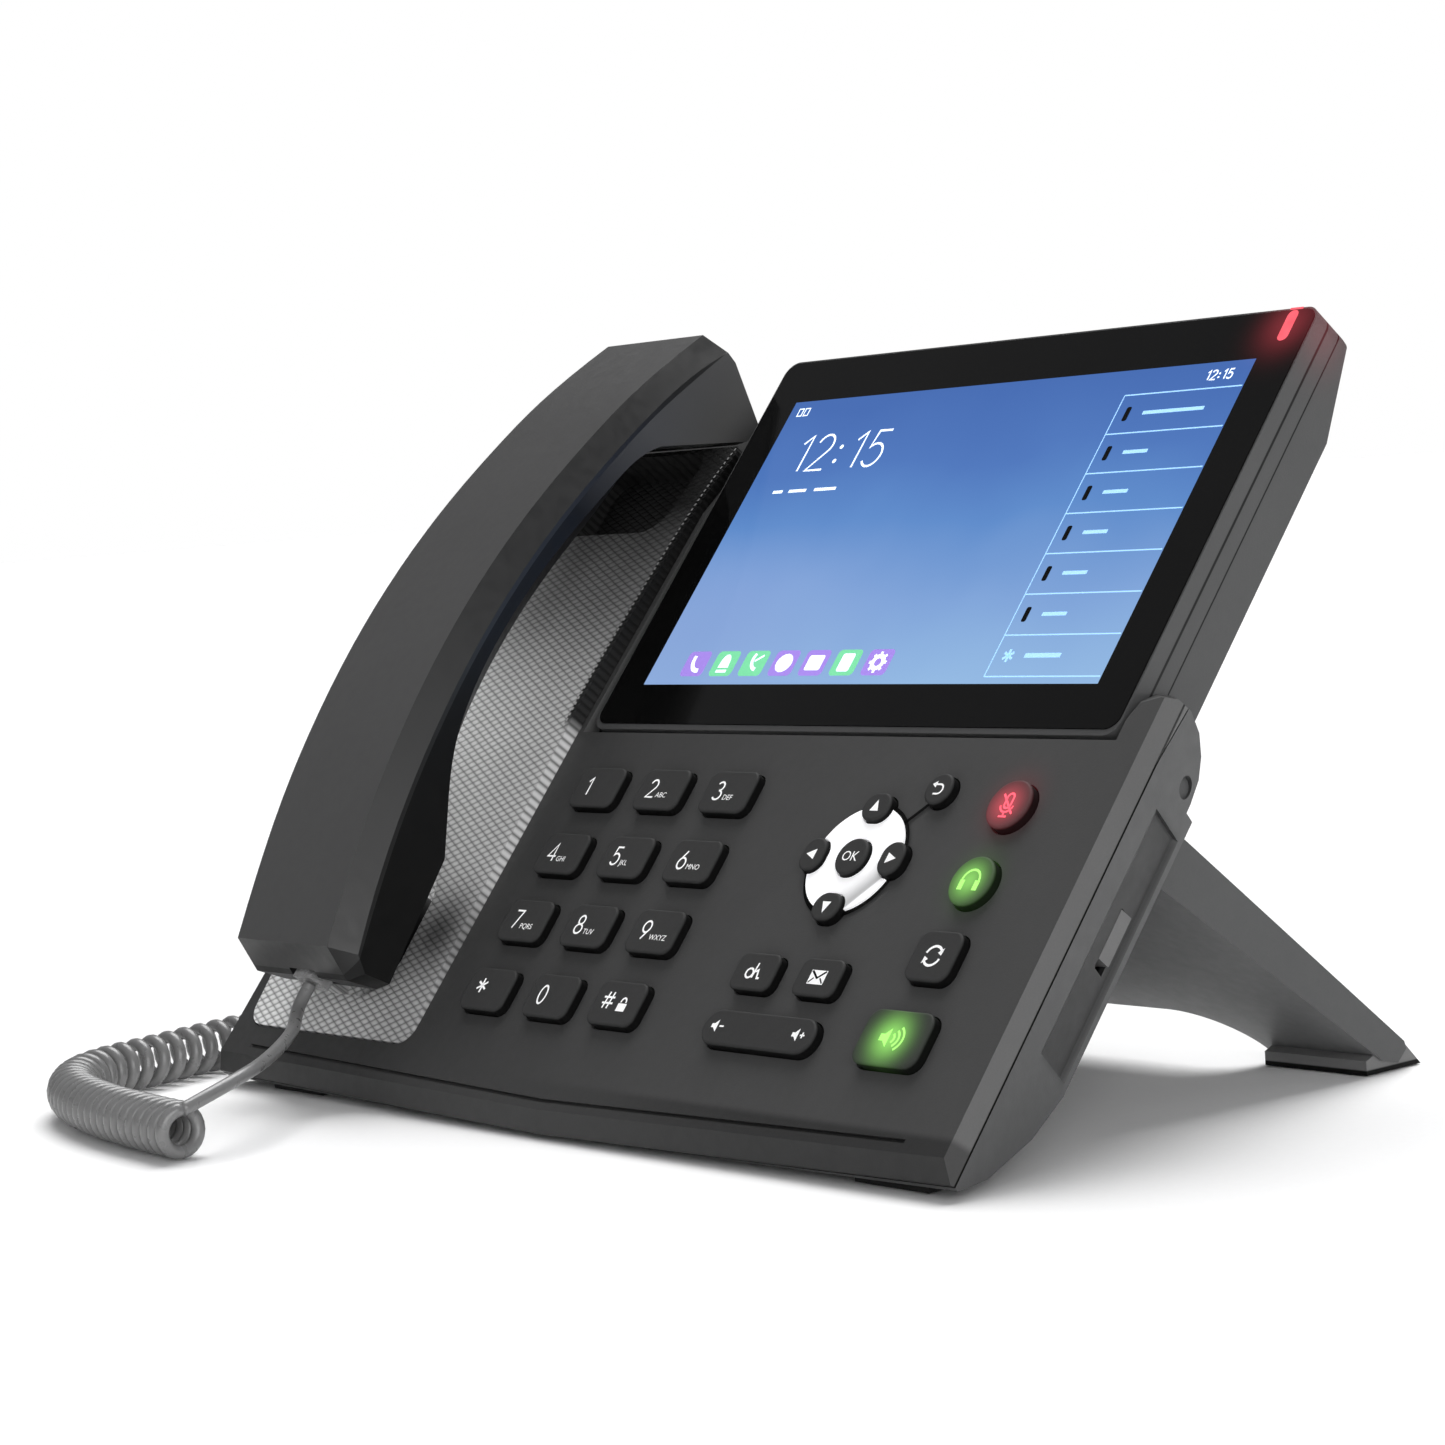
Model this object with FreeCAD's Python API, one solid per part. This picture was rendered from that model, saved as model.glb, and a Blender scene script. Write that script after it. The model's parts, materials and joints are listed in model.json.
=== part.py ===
import FreeCAD, Part
import os
from math import pi, tan

os.makedirs("parts", exist_ok=True)

V = FreeCAD.Vector

# The desk phone is drawn in its panel frame, in millimetres: U to the right, V up the slope,
# W out of the face, with the origin at the middle of the screen. FRAME leans that onto the table.
SLOPE = 50.0                    # angle between the panel and the table
SCREEN_HEIGHT = 127.0           # middle of the screen above the table
CENTRE_X = 35.35                # moves the middle of the footprint to X = 0
CENTRE_Y = 22.12                # moves the middle of the footprint to Y = 0
FRAME = FreeCAD.Placement(V(CENTRE_X, CENTRE_Y, SCREEN_HEIGHT), FreeCAD.Rotation(V(1, 0, 0), SLOPE))

# Base
LEFT, RIGHT = -170.5, 99.8      # widest points of the base
PANEL_LEFT, PANEL_RIGHT = -168.9, 98.2
PANEL_W = 0.0                   # face of the key panel
PANEL_THICK = 2.4
SEAM_W = -4.2                   # joint between the two shells
SEAM_GAP = 0.4
BACK_W = -26.0                  # underside of the base
BEND_U = -33.0                  # the front edge is two straight facets that meet here
HEAD_V = -57.0                  # top edge of the key panel, below the display
BACK_V0 = -126.0                # the underside is flat from here back
HEAD_WALL_V = -60.0             # wall under that edge, clear of the display as it tilts
TOWER_RIGHT, TOWER_TOP = -91.0, 49.0
WALL = 2.4
HINGE_V, HINGE_W = -53.5, -10.0
CHEEK_INNER = 90.3
PIN_R, PIN_FIT = 3.0, 0.05

# Display
GLASS_LEFT, GLASS_RIGHT = -88.0, 88.4
GLASS_LOW, GLASS_HIGH = -54.2, 56.0
SCREEN_W, SCREEN_H = 154.2, 85.9
BEZEL = 0.6                     # frame showing round the glass
FRAME_BACK = -8.5               # joint between display frame and rear shell

# Cradle insert and handset
INSERT = (-163.4, -93.0, -146.0, 33.0)
CRADLE_U = -127.0
HANDSET_U = -127.0
RIDGE_HALF, SIDE_HALF = 20.0, 25.0
EAR_HIGH = (21.0, 12.8)         # the earpiece face runs between these (V, W) points
EAR_LOW = (38.4, -9.0)
EAR_TIP = (44.0, -11.6)
MOUTH_U, MOUTH_V, MOUTH_R = -127.5, -116.0, 12.5
MOUTH_SEAT_W = -8.0
SEAT_GAP = 0.3

# Keys
KEY_TOP, KEY_BOTTOM = 2.2, -4.2
KEY_FIT = 0.35
FLANGE = 0.9
NUMBER_COLUMNS = (-70.3, -45.8, -21.3)
NUMBER_ROWS = (-74.0, -92.7, -111.4, -130.2)
NUMBER_NAMES = ("1", "2", "3", "4", "5", "6", "7", "8", "9", "star", "0", "hash")
NAV_U, NAV_V, NAV_R = 30.8, -89.1, 12.7

# Cord
CORD_R, COIL_R = 1.6, 6.6


def block(u0, u1, v0, v1, w0, w1):
    return Part.makeBox(u1 - u0, v1 - v0, w1 - w0, V(u0, v0, w0))


def round_block(u0, u1, v0, v1, w0, w1, r):
    """A block with its four edges along W rounded."""
    body = block(u0, u1, v0, v1, w0, w1)
    upright = [e for e in body.Edges if abs(e.tangentAt(e.FirstParameter).z) > 0.9]
    return body.makeFillet(r, upright)


def key_block(u, v, width, height, r, grow=0.0, w0=KEY_BOTTOM, w1=KEY_TOP):
    half_w, half_h = width / 2 + grow, height / 2 + grow
    r = min(r + grow, half_w - 0.05, half_h - 0.05)
    return round_block(u - half_w, u + half_w, v - half_h, v + half_h, w0, w1, r)


def rod_w(u, v, w0, w1, r):
    return Part.makeCylinder(r, w1 - w0, V(u, v, w0), V(0, 0, 1))


def rod_u(v, w, u0, u1, r):
    return Part.makeCylinder(r, u1 - u0, V(u0, v, w), V(1, 0, 0))


def prism_u(points, u0, u1):
    """Side outline, (V, W) points, drawn from u0 to u1."""
    face = Part.Face(Part.makePolygon([V(u0, v, w) for v, w in points + points[:1]]))
    return face.extrude(V(u1 - u0, 0, 0))


def prism_v(points, v0, v1):
    """Cross-section, (U, W) points, drawn from v0 to v1."""
    face = Part.Face(Part.makePolygon([V(u, v0, w) for u, w in points + points[:1]]))
    return face.extrude(V(0, v1 - v0, 0))


def curve_u(u, curves):
    """A closed wire in the plane at u: each entry is a list of (V, W) points, a line or a spline."""
    edges = []
    for points in curves:
        ends = [V(u, v, w) for v, w in points]
        if len(ends) == 2:
            edges.append(Part.makeLine(ends[0], ends[1]))
            continue
        spline = Part.BSplineCurve()
        spline.interpolate(ends)
        edges.append(spline.toShape())
    return Part.Wire(edges)


def fuse(shapes):
    body = shapes[0]
    for shape in shapes[1:]:
        body = body.fuse(shape)
    return body.removeSplitter()


def save(name, shape):
    placed = shape.copy()
    placed.Placement = FRAME.multiply(placed.Placement)
    placed.exportStep("parts/%s.step" % name)


# ---------------------------------------------------------------- base shells

def lofted(sections):
    """A solid with flat facets through the same outline drawn at several U positions."""
    wires = []
    for u, points in sections:
        wires.append(Part.makePolygon([V(u, v, w) for v, w in points + points[:1]]))
    return Part.makeLoft(wires, True, True)


def base_outside():
    """Deck, handset tower and hinge cheek, trimmed by the draft of the side walls."""
    head = [(BACK_V0, BACK_W), (HEAD_WALL_V, BACK_W), (HEAD_WALL_V, -PANEL_THICK), (HEAD_V, -PANEL_THICK)]
    end = [(HEAD_V, PANEL_W), (-154.4, PANEL_W), (-158.4, -3.4), (-158.2, -6.4), (-151.5, -13.8),
           (-138.0, -22.2)] + head
    middle = [(HEAD_V, PANEL_W), (-157.4, PANEL_W), (-161.8, -3.2), (-161.0, -4.9), (-153.0, -13.6),
              (-139.5, -21.4)] + head
    deck = lofted([(LEFT, end), (BEND_U, middle), (RIGHT, end)])
    tower = prism_u([(HEAD_WALL_V - 1, PANEL_W), (10, -1.2), (20, -3), (33, -8), (35.9, -8.5), (35.9, -14),
                     (TOWER_TOP, -15.5), (TOWER_TOP + 0.5, -17), (TOWER_TOP - 2, BACK_W),
                     (HEAD_WALL_V - 1, BACK_W)], LEFT, TOWER_RIGHT)
    draft = prism_v([(PANEL_LEFT, 1), (PANEL_LEFT, PANEL_W), (LEFT, SEAM_W), (-163.5, BACK_W),
                     (93.0, BACK_W), (RIGHT, SEAM_W), (PANEL_RIGHT, PANEL_W), (PANEL_RIGHT, 1)],
                    -165, 55)
    channel = prism_v([(97.5, -11.5), (95.9, -13.3), (92.9, -23.0), (93.7, -24.4), (101, -24.4), (101, -11.5)],
                      -124, -66)
    return fuse([deck, tower, hinge_cheek()]).common(draft).cut(channel)


def hinge_cheek():
    """Rounded ear on the right of the deck that carries one hinge pin, leaning in as it rises."""
    rim = [(-52.0, 0.0), (-46.5, -1.4), (-42.6, -4.4), (-40.3, -8.5), (-40.2, -13.0), (-42.4, -18.0),
           (-46.0, -21.6), (-50.4, -24.0), (-56.0, -24.9)]
    root = HEAD_WALL_V - 1
    outline = [(root, 8.0), (-58.0, 8.0)] + rim + [(root, -25.0)]
    face = Part.Face(Part.makePolygon([V(CHEEK_INNER, v, w) for v, w in outline + outline[:1]]))
    ear = face.extrude(V(RIGHT - CHEEK_INNER, -5.0, 6.0))
    return ear.cut(block(80, 120, -100, 0, PANEL_W, 60)).removeSplitter()


def base_inside():
    floor_w = BACK_W + WALL
    deck = prism_u([(HEAD_WALL_V - WALL, -PANEL_THICK), (-152.2, -PANEL_THICK), (-154.6, -5.0),
                    (-150.4, -11.2), (-136.8, -19.4), (-125.2, floor_w), (HEAD_WALL_V - WALL, floor_w)],
                   -167.6, 96.9)
    tower = prism_u([(HEAD_WALL_V - 5, -PANEL_THICK), (8, -3.7), (30, -10.6), (33.3, -16.4),
                     (TOWER_TOP - WALL, -18.2), (TOWER_TOP - 4.5, floor_w), (HEAD_WALL_V - 5, floor_w)],
                    -167.6, TOWER_RIGHT - WALL)
    draft = prism_v([(-166.4, 0), (-168.0, SEAM_W), (-161.2, BACK_W), (90.6, BACK_W),
                     (97.4, SEAM_W), (95.8, 0)], -165, 55)
    return fuse([deck, tower]).common(draft).cut(hinge_boss())


def hinge_boss():
    """Round boss inside the tower that holds the left hinge pin."""
    return rod_u(HINGE_V, HINGE_W, -103.0, TOWER_RIGHT, 5.0)


def seam_tool(gap):
    """Everything above the joint line, which drops behind the key panel."""
    return prism_u([(-170, SEAM_W - gap), (HEAD_WALL_V, SEAM_W - gap), (60, -19.5 - gap), (60, 30),
                    (-170, 30)], -200, 130)


def base_shells():
    body = base_outside().cut(base_inside())
    return body.common(seam_tool(0)), body.cut(seam_tool(SEAM_GAP))


def front_groove():
    """Fine bent groove that sets the front lip off from the key panel."""
    far = [(-157.5, -151.5), (BEND_U, -154.6), (85.5, -151.7)]
    near = [(u, v - 0.9) for u, v in reversed(far)]
    points = [V(u, v, PANEL_W - 0.9) for u, v in far + near + far[:1]]
    return Part.Face(Part.makePolygon(points)).extrude(V(0, 0, 3))


def insert_outline(grow, w0, w1):
    u0, u1, v0, v1 = INSERT
    return round_block(u0 - grow, u1 + grow, v0 - grow, v1 + grow, w0, w1, 5.0 + grow)


def hinge_bore():
    """Blind bores for the two hinge pins."""
    right = rod_u(HINGE_V, HINGE_W, CHEEK_INNER - 1, 96.4, PIN_R + PIN_FIT)
    left = rod_u(HINGE_V, HINGE_W, TOWER_RIGHT - 9.5, TOWER_RIGHT + 1, PIN_R + PIN_FIT)
    return [right, left]


USB_V, USB_W = -93.6, -19.0
SCREW_SPOTS = ((-150, -120), (80, -120), (-150, 20), (80, -81), (-40, -120))
PORTS_V0, PORTS_V1 = -98.0, -80.0
ETHERNET_U = (-29.0, -13.0)     # left edges of the two network sockets
SOCKET_W, SOCKET_H = 11.9, 8.6
POWER_U = 24.0
HEADSET_U, CORD_JACK_U = -75.0, -150.0
SMALL_W, SMALL_H = 7.9, 6.8     # mouth of a small four-contact socket
STAND_HOOKS = (-70.0, -22.0, 22.0, 70.0)
STAND_V0, STAND_V1 = -72.0, -60.4
SIDE_HOLE = (-56.6, -18.0)      # small round hole low on the right cheek


def bottom_cuts():
    cuts = hinge_bore()
    cuts.append(rod_u(*SIDE_HOLE, 94.0, RIGHT + 1, 2.5))
    cuts.append(block(90, 101, USB_V - 7.2, USB_V + 6.9, USB_W - 1.9, USB_W + 1.9))
    for left in ETHERNET_U:
        cuts.append(block(left - 1.5, left + SOCKET_W + 1.5, -99.6, -85.4, -27, -22))
    cuts.append(rod_w(POWER_U, -92.5, -27, -22, 5.2))
    for left in (HEADSET_U, CORD_JACK_U):
        cuts.append(block(left - 1.6, left + SMALL_W + 1.6, -98.4, -86.6, -27, -22))
    for u, v in SCREW_SPOTS:
        cuts.append(rod_w(u, v, -27, -22, 1.75))
        cuts.append(rod_w(u, v, -27, -24.2, 3.4))
    for u in STAND_HOOKS:
        cuts.append(block(u - 6.4, u + 6.4, STAND_V0 - 9.0, STAND_V1 + 0.4, -27, -22))
    return cuts


def screws():
    """Five countersunk screws that hold the bottom shell, kept as one group."""
    group = []
    for u, v in SCREW_SPOTS:
        head = rod_w(u, v, BACK_W + 0.3, BACK_W + 1.7, 3.1)
        shank = rod_w(u, v, BACK_W + 1.7, BACK_W + 10.0, 1.5)
        cross = block(u - 1.9, u + 1.9, v - 0.4, v + 0.4, BACK_W + 0.2, BACK_W + 1.1)
        group.append(head.fuse(shank).cut(cross))
    return Part.makeCompound(group)


def screw_bosses():
    group = []
    for u, v in SCREW_SPOTS:
        boss = rod_w(u, v, BACK_W + WALL - 0.2, BACK_W + 14.0, 3.6)
        group.append(boss.cut(rod_w(u, v, BACK_W, BACK_W + 15.0, 1.55)))
    return group


def front_feet(bottom):
    """Two flat pads under the front edge, level with the table."""
    lean = FRAME.Rotation.inverted()
    group = []
    for u in (-140.0, 78.0):
        pad = Part.makeBox(22, 8, 3.0)
        spot = FRAME.inverse().multVec(V(u + CENTRE_X - 11, CENTRE_Y - 95.5, 0))
        pad.Placement = FreeCAD.Placement(spot, lean)
        group.append(pad.cut(bottom))
    return Part.makeCompound(group)


# ---------------------------------------------------------------- cradle insert

INSERT_TOP = [(32.0, -2.0), (20.0, -0.2), (-16.0, 2.4), (-47.0, 3.4), (-82.0, 2.7), (-115.0, 2.0),
              (-146.4, 0.3)]
INSERT_LOW = -15.0
EAR_WELL_W = -12.0


def insert_profile(u0, u1):
    first, last = INSERT_TOP[0], INSERT_TOP[-1]
    corner, heel = (last[0], INSERT_LOW), (first[0], INSERT_LOW)
    wire = curve_u(u0, [INSERT_TOP, [last, corner], [corner, heel], [heel, first]])
    return Part.Face(wire).extrude(V(u1 - u0, 0, 0))


def mouth_well():
    """Pocket for the mouthpiece, with a wide sweep on its upper left side."""
    floor_w = MOUTH_SEAT_W - SEAT_GAP
    pocket = round_block(-144.5, -111.0, -135.5, -98.0, floor_w, 8, 12.0)
    sweep = rod_w(-142.0, -103.0, floor_w, 8, 24.5).common(block(-156, -111, -132, -70, -20, 20))
    return pocket.fuse(sweep)


HOOK_HALF_U, HOOK_HALF_V = 5.0, 7.0


def cradle_insert():
    body = insert_outline(0, INSERT_LOW, 6.0).common(insert_profile(-170, -85))
    ear_well = round_block(-152, -103.5, 3, 30.5, EAR_WELL_W, 8, 8.0)
    hollow = block(-158, -98, -74, -1, INSERT_LOW - 1, -0.4)
    hook_slot = round_block(MOUTH_U - HOOK_HALF_U - KEY_FIT, MOUTH_U + HOOK_HALF_U + KEY_FIT,
                            MOUTH_V - HOOK_HALF_V - KEY_FIT, MOUTH_V + HOOK_HALF_V + KEY_FIT,
                            INSERT_LOW - 1, 0, 2.0 + KEY_FIT)
    pin_boss = rod_u(HINGE_V, HINGE_W, -103.4, -90, 5.3).fuse(
        block(-103.4, -90, HINGE_V - 5.3, HINGE_V + 5.3, INSERT_LOW - 1, HINGE_W))
    for tool in (ear_well, mouth_well(), hollow, hook_slot, pin_boss):
        body = body.cut(tool)
    return body


def hook_switch():
    """Plunger that the handset's mouthpiece holds down."""
    u0, u1 = MOUTH_U - HOOK_HALF_U, MOUTH_U + HOOK_HALF_U
    v0, v1 = MOUTH_V - HOOK_HALF_V, MOUTH_V + HOOK_HALF_V
    stem = round_block(u0, u1, v0, v1, -21.5, MOUTH_SEAT_W - 0.2, 2.0)
    foot = block(u0 - 1.5, u1 + 1.5, v0, v1, -22.6, -21.0)
    return stem.fuse(foot)


# ---------------------------------------------------------------- keys

def key_table():
    """Name, outline (U, V, width, height, corner radius) of every sliding key."""
    table = []
    for index, name in enumerate(NUMBER_NAMES):
        u = NUMBER_COLUMNS[index % 3]
        v = NUMBER_ROWS[index // 3]
        table.append(("key_" + name, (u, v, 16.6, 11.2, 2.6)))
    table.append(("key_up", (NAV_U, NAV_V + NAV_R, 8.4, 7.0, 3.4)))
    table.append(("key_down", (NAV_U, NAV_V - NAV_R, 8.4, 7.0, 3.4)))
    table.append(("key_left", (NAV_U - NAV_R, NAV_V, 7.0, 8.4, 3.4)))
    table.append(("key_right", (NAV_U + NAV_R, NAV_V, 7.0, 8.4, 3.4)))
    table.append(("key_ok", (NAV_U, NAV_V, 9.2, 9.2, 4.55)))
    table.append(("key_back", (47.5, -71.4, 7.8, 7.8, 3.85)))
    table.append(("key_mute", (70.8, -74.6, 12.0, 12.0, 5.95)))
    table.append(("key_headset", (70.8, -93.4, 12.0, 12.0, 5.95)))
    table.append(("key_redial", (70.7, -111.6, 13.0, 12.0, 3.0)))
    table.append(("key_speaker", (70.5, -131.1, 19.5, 13.0, 3.2)))
    table.append(("key_contacts", (18.9, -119.0, 13.4, 9.2, 2.4)))
    table.append(("key_mail", (39.6, -119.0, 13.4, 9.2, 2.4)))
    return table


VOLUME = (29.4, -133.0, 36.0, 8.6, 4.2)
ROCKER_W = -4.5                 # axis that the volume key rocks about


def key_cap(outline):
    u, v, width, height, r = outline
    cap = key_block(u, v, width, height, r)
    top = [e for e in cap.Edges if abs(e.BoundBox.ZMin - KEY_TOP) < 0.01 and abs(e.BoundBox.ZMax - KEY_TOP) < 0.01]
    cap = cap.makeFillet(0.6, top)
    flange = key_block(u, v, width, height, r, FLANGE, KEY_BOTTOM, KEY_BOTTOM + 0.9)
    return cap.fuse(flange).removeSplitter()


def volume_rocker():
    """Long key that rocks about its middle."""
    u, v, width, height, r = VOLUME
    cap = key_block(u, v, width, height, r, 0, -3.2, KEY_TOP)
    top = [e for e in cap.Edges if abs(e.BoundBox.ZMin - KEY_TOP) < 0.01 and abs(e.BoundBox.ZMax - KEY_TOP) < 0.01]
    cap = cap.makeFillet(0.6, top)
    web = block(u - 0.8, u + 0.8, v - 3.0, v + 3.0, ROCKER_W, -3.1)
    pin = Part.makeCylinder(1.0, 6.0, V(u, v - 3.0, ROCKER_W), V(0, 1, 0))
    return fuse([cap, web, pin])


def key_openings():
    cuts = []
    for _name, outline in key_table():
        cuts.append(key_block(*outline, grow=KEY_FIT, w0=-3, w1=1))
    cuts.append(key_block(*VOLUME, grow=KEY_FIT, w0=-3, w1=1))
    return cuts


def nav_plate():
    """Bright disc under the arrow keys, with the keys' holes through it."""
    plate = rod_w(NAV_U, NAV_V, PANEL_W + 0.02, PANEL_W + 1.0, 13.4)
    for name, outline in key_table():
        if name in ("key_up", "key_down", "key_left", "key_right", "key_ok"):
            plate = plate.cut(key_block(*outline, grow=KEY_FIT, w0=-4, w1=3))
    return plate


def keypad_mat():
    """Rubber sheet under the keys; each key has 1.6 mm of free travel above it."""
    return block(-84, 88, -144, -64, -7.4, -5.8)


# ---------------------------------------------------------------- base inner parts and sockets

def main_board():
    return block(-86, 86, -140, -68, -11.2, -9.6)


def loudspeaker():
    ring = rod_w(48, -109, -22.5, -15.0, 17)
    cone = Part.makeCone(5, 15, 6.0, V(48, -109, -20.9), V(0, 0, 1))
    return ring.cut(cone)


def socket_box(u0, u1, v0, v1, w0, w1, mouth_u, mouth_v, depth):
    """A moulded jack that opens away from the underside (-W)."""
    body = block(u0, u1, v0, v1, w0, w1)
    cu, cv = (u0 + u1) / 2, (v0 + v1) / 2
    mouth = block(cu - mouth_u / 2, cu + mouth_u / 2, cv - mouth_v / 2, cv + mouth_v / 2, w0 - 1, w0 + depth)
    return body.cut(mouth)


def ethernet_jacks():
    group = []
    for left in ETHERNET_U:
        group.append(socket_box(left - 1.3, left + SOCKET_W + 1.3, -99.4, -85.6, -25.6, -13.0,
                                SOCKET_W, SOCKET_H, 11.0))
    return Part.makeCompound(group)


def small_jack(left):
    return socket_box(left - 1.4, left + SMALL_W + 1.4, -98.2, -86.8, -25.6, -15.8, SMALL_W, SMALL_H, 8.8)


def power_jack():
    body = rod_w(POWER_U, -92.5, -25.6, -13.0, 5.0)
    pin = rod_w(POWER_U, -92.5, -24.8, -14.5, 0.9)
    return body.cut(rod_w(POWER_U, -92.5, -26, -15.0, 3.2)).fuse(pin)


def usb_port():
    """USB port behind its flush cover, with a fingernail notch left open below the cover."""
    cover = block(91.0, 94.6, USB_V - 5.0, USB_V + 6.7, USB_W - 1.7, USB_W + 1.7)
    port = block(80.0, 91.0, USB_V - 6.7, USB_V + 6.7, USB_W - 1.7, USB_W + 1.7)
    return cover.fuse(port).removeSplitter()


# ---------------------------------------------------------------- display

DISPLAY_SIDE_L, DISPLAY_SIDE_R = GLASS_LEFT - BEZEL, GLASS_RIGHT + BEZEL
DISPLAY_LOW, DISPLAY_HIGH = -55.8, GLASS_HIGH + BEZEL


def display_frame():
    body = round_block(DISPLAY_SIDE_L, DISPLAY_SIDE_R, DISPLAY_LOW, DISPLAY_HIGH, FRAME_BACK, -0.2, 4.0)
    seat = round_block(GLASS_LEFT - 0.1, GLASS_RIGHT + 0.1, GLASS_LOW - 0.1, GLASS_HIGH + 0.1, -1.9, 0, 3.6)
    window = block(GLASS_LEFT + 3, GLASS_RIGHT - 3, GLASS_LOW + 3, GLASS_HIGH - 3, -9, 0)
    for tool in [seat, window, light_bar(0.1)] + hinge_pins(0.02):
        body = body.cut(tool)
    return body


def display_glass():
    """Cover glass, with a shallow pocket behind the picture for the panel."""
    return round_block(GLASS_LEFT, GLASS_RIGHT, GLASS_LOW, GLASS_HIGH, -1.8, 0, 3.5)


def lcd_panel():
    return block(-SCREEN_W / 2 - 3, SCREEN_W / 2 + 3, -SCREEN_H / 2 - 4, SCREEN_H / 2 + 3, -5.4, -1.9)


def display_board():
    return block(-60, 60, -30, 30, -10.5, -8.9)


def light_bar(grow):
    """Message lamp that wraps over the top right edge."""
    return block(80.0 - grow, 83.6 + grow, 50.0, 60.0, -8.0 - grow, 1).common(
        round_block(DISPLAY_SIDE_L, DISPLAY_SIDE_R + 0.1, DISPLAY_LOW, DISPLAY_HIGH + 0.1, -9, -0.1, 4.0)).cut(
        block(70, 90, 40, GLASS_HIGH + 0.1 - grow, -10, 1))


def display_rear():
    outer = [(DISPLAY_LOW, FRAME_BACK - 0.3), (-56.2, -10.5), (-56.2, -14.0), (-54.0, -18.6), (33.0, -18.6),
             (54.8, -11.8), (DISPLAY_HIGH, FRAME_BACK - 0.3)]
    inner = [(-50.0, -8.0), (-50.0, -14.5), (-48.0, -16.4), (32.0, -16.4), (52.5, -10.6), (53.5, -8.0)]
    body = prism_u(outer, DISPLAY_SIDE_L + 0.3, DISPLAY_SIDE_R - 0.3)
    body = body.cut(prism_u(inner, DISPLAY_SIDE_L + 2.5, DISPLAY_SIDE_R - 2.5))
    corners = round_block(DISPLAY_SIDE_L, DISPLAY_SIDE_R, DISPLAY_LOW - 9, DISPLAY_HIGH, -20, FRAME_BACK, 4.0)
    body = body.common(corners)
    for tool in hinge_pins(0):
        body = body.cut(tool)
    return body


def hinge_pins(grow):
    """The two steel pins that the display tilts on."""
    right = rod_u(HINGE_V, HINGE_W, 79.0, 96.0, PIN_R + grow)
    left = rod_u(HINGE_V, HINGE_W, -99.5, -79.0, PIN_R + grow)
    return [right, left]


# ---------------------------------------------------------------- stand

STAND_HALF = 84.0
STAND_ROOT = BACK_W - 0.3
STAND_SIDE = [(-59.4, STAND_ROOT), (-57.7, -119.4), (-58.7, -121.0), (-62.8, -120.4), (-65.1, -115.6),
              (-71.8, -33.0), (-72.2, STAND_ROOT)]
ARCH_HALF, ARCH_TOP, ARCH_R = 50.0, -98.0, 17.0


def stand_arch():
    """Opening between the feet, rounded at its upper corners."""
    arch = block(-ARCH_HALF, ARCH_HALF, -90, -40, -130, ARCH_TOP)
    corners = [e for e in arch.Edges
               if abs(e.tangentAt(e.FirstParameter).y) > 0.9 and e.CenterOfMass.z > ARCH_TOP - 5]
    return arch.makeFillet(ARCH_R, corners)


def stand_body():
    """Tapered leg, hollow from the root, with an arch between two feet and four hooks."""
    hollow = [(-61.8, STAND_ROOT + 1), (-60.6, ARCH_TOP + 3), (-63.4, ARCH_TOP + 3), (-69.6, -33.0),
              (-69.8, STAND_ROOT + 1)]
    body = prism_u(STAND_SIDE, -STAND_HALF, STAND_HALF)
    body = body.cut(prism_u(hollow, -STAND_HALF + WALL, STAND_HALF - WALL)).cut(stand_arch())
    hooks = []
    for u in STAND_HOOKS:
        stem = block(u - 6, u + 6, STAND_V0 + 0.3, STAND_V0 + 3.0, STAND_ROOT - 6, -21.0)
        toe = block(u - 6, u + 6, STAND_V0 + 0.3, STAND_V0 + 7.0, -23.0, -21.0)
        hooks.append(stem.fuse(toe))
    return fuse([body] + hooks)


def stand_pads():
    """Rubber pads under the two feet, cut level with the table."""
    above = Part.makeBox(600, 600, 60, V(-300, -300, 0))
    above.Placement = FRAME.inverse().multiply(above.Placement)
    side = [(-59.6, -119.9), (-57.6, -121.2), (-58.5, -130.0), (-75.0, -118.0), (-67.6, -112.0),
            (-64.9, -113.5)]
    leg = prism_u(STAND_SIDE, -STAND_HALF, STAND_HALF)
    group = []
    for u0, u1 in ((-STAND_HALF + 1, -ARCH_HALF - 3), (ARCH_HALF + 3, STAND_HALF - 1)):
        group.append(prism_u(side, u0, u1).common(above).cut(leg))
    return Part.makeCompound(group)


# ---------------------------------------------------------------- handset

RIDGE = [(55.1, 15.7), (43.6, 20.2), (26.2, 26.0), (10.8, 29.8), (-4.0, 32.8), (-31.0, 36.3), (-55.5, 37.0),
         (-77.9, 35.6), (-99.0, 32.6), (-118.7, 28.2), (-134.7, 23.9)]
UNDER = [EAR_HIGH, (14.0, 16.0), (4.0, 17.2), (-18.0, 20.4), (-40.0, 22.6), (-60.0, 22.4), (-78.0, 19.6),
         (-91.0, 14.4), (-101.0, 9.6)]
BEVEL_DROP, SIDE_LIP = 5.6, 1.2


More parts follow.
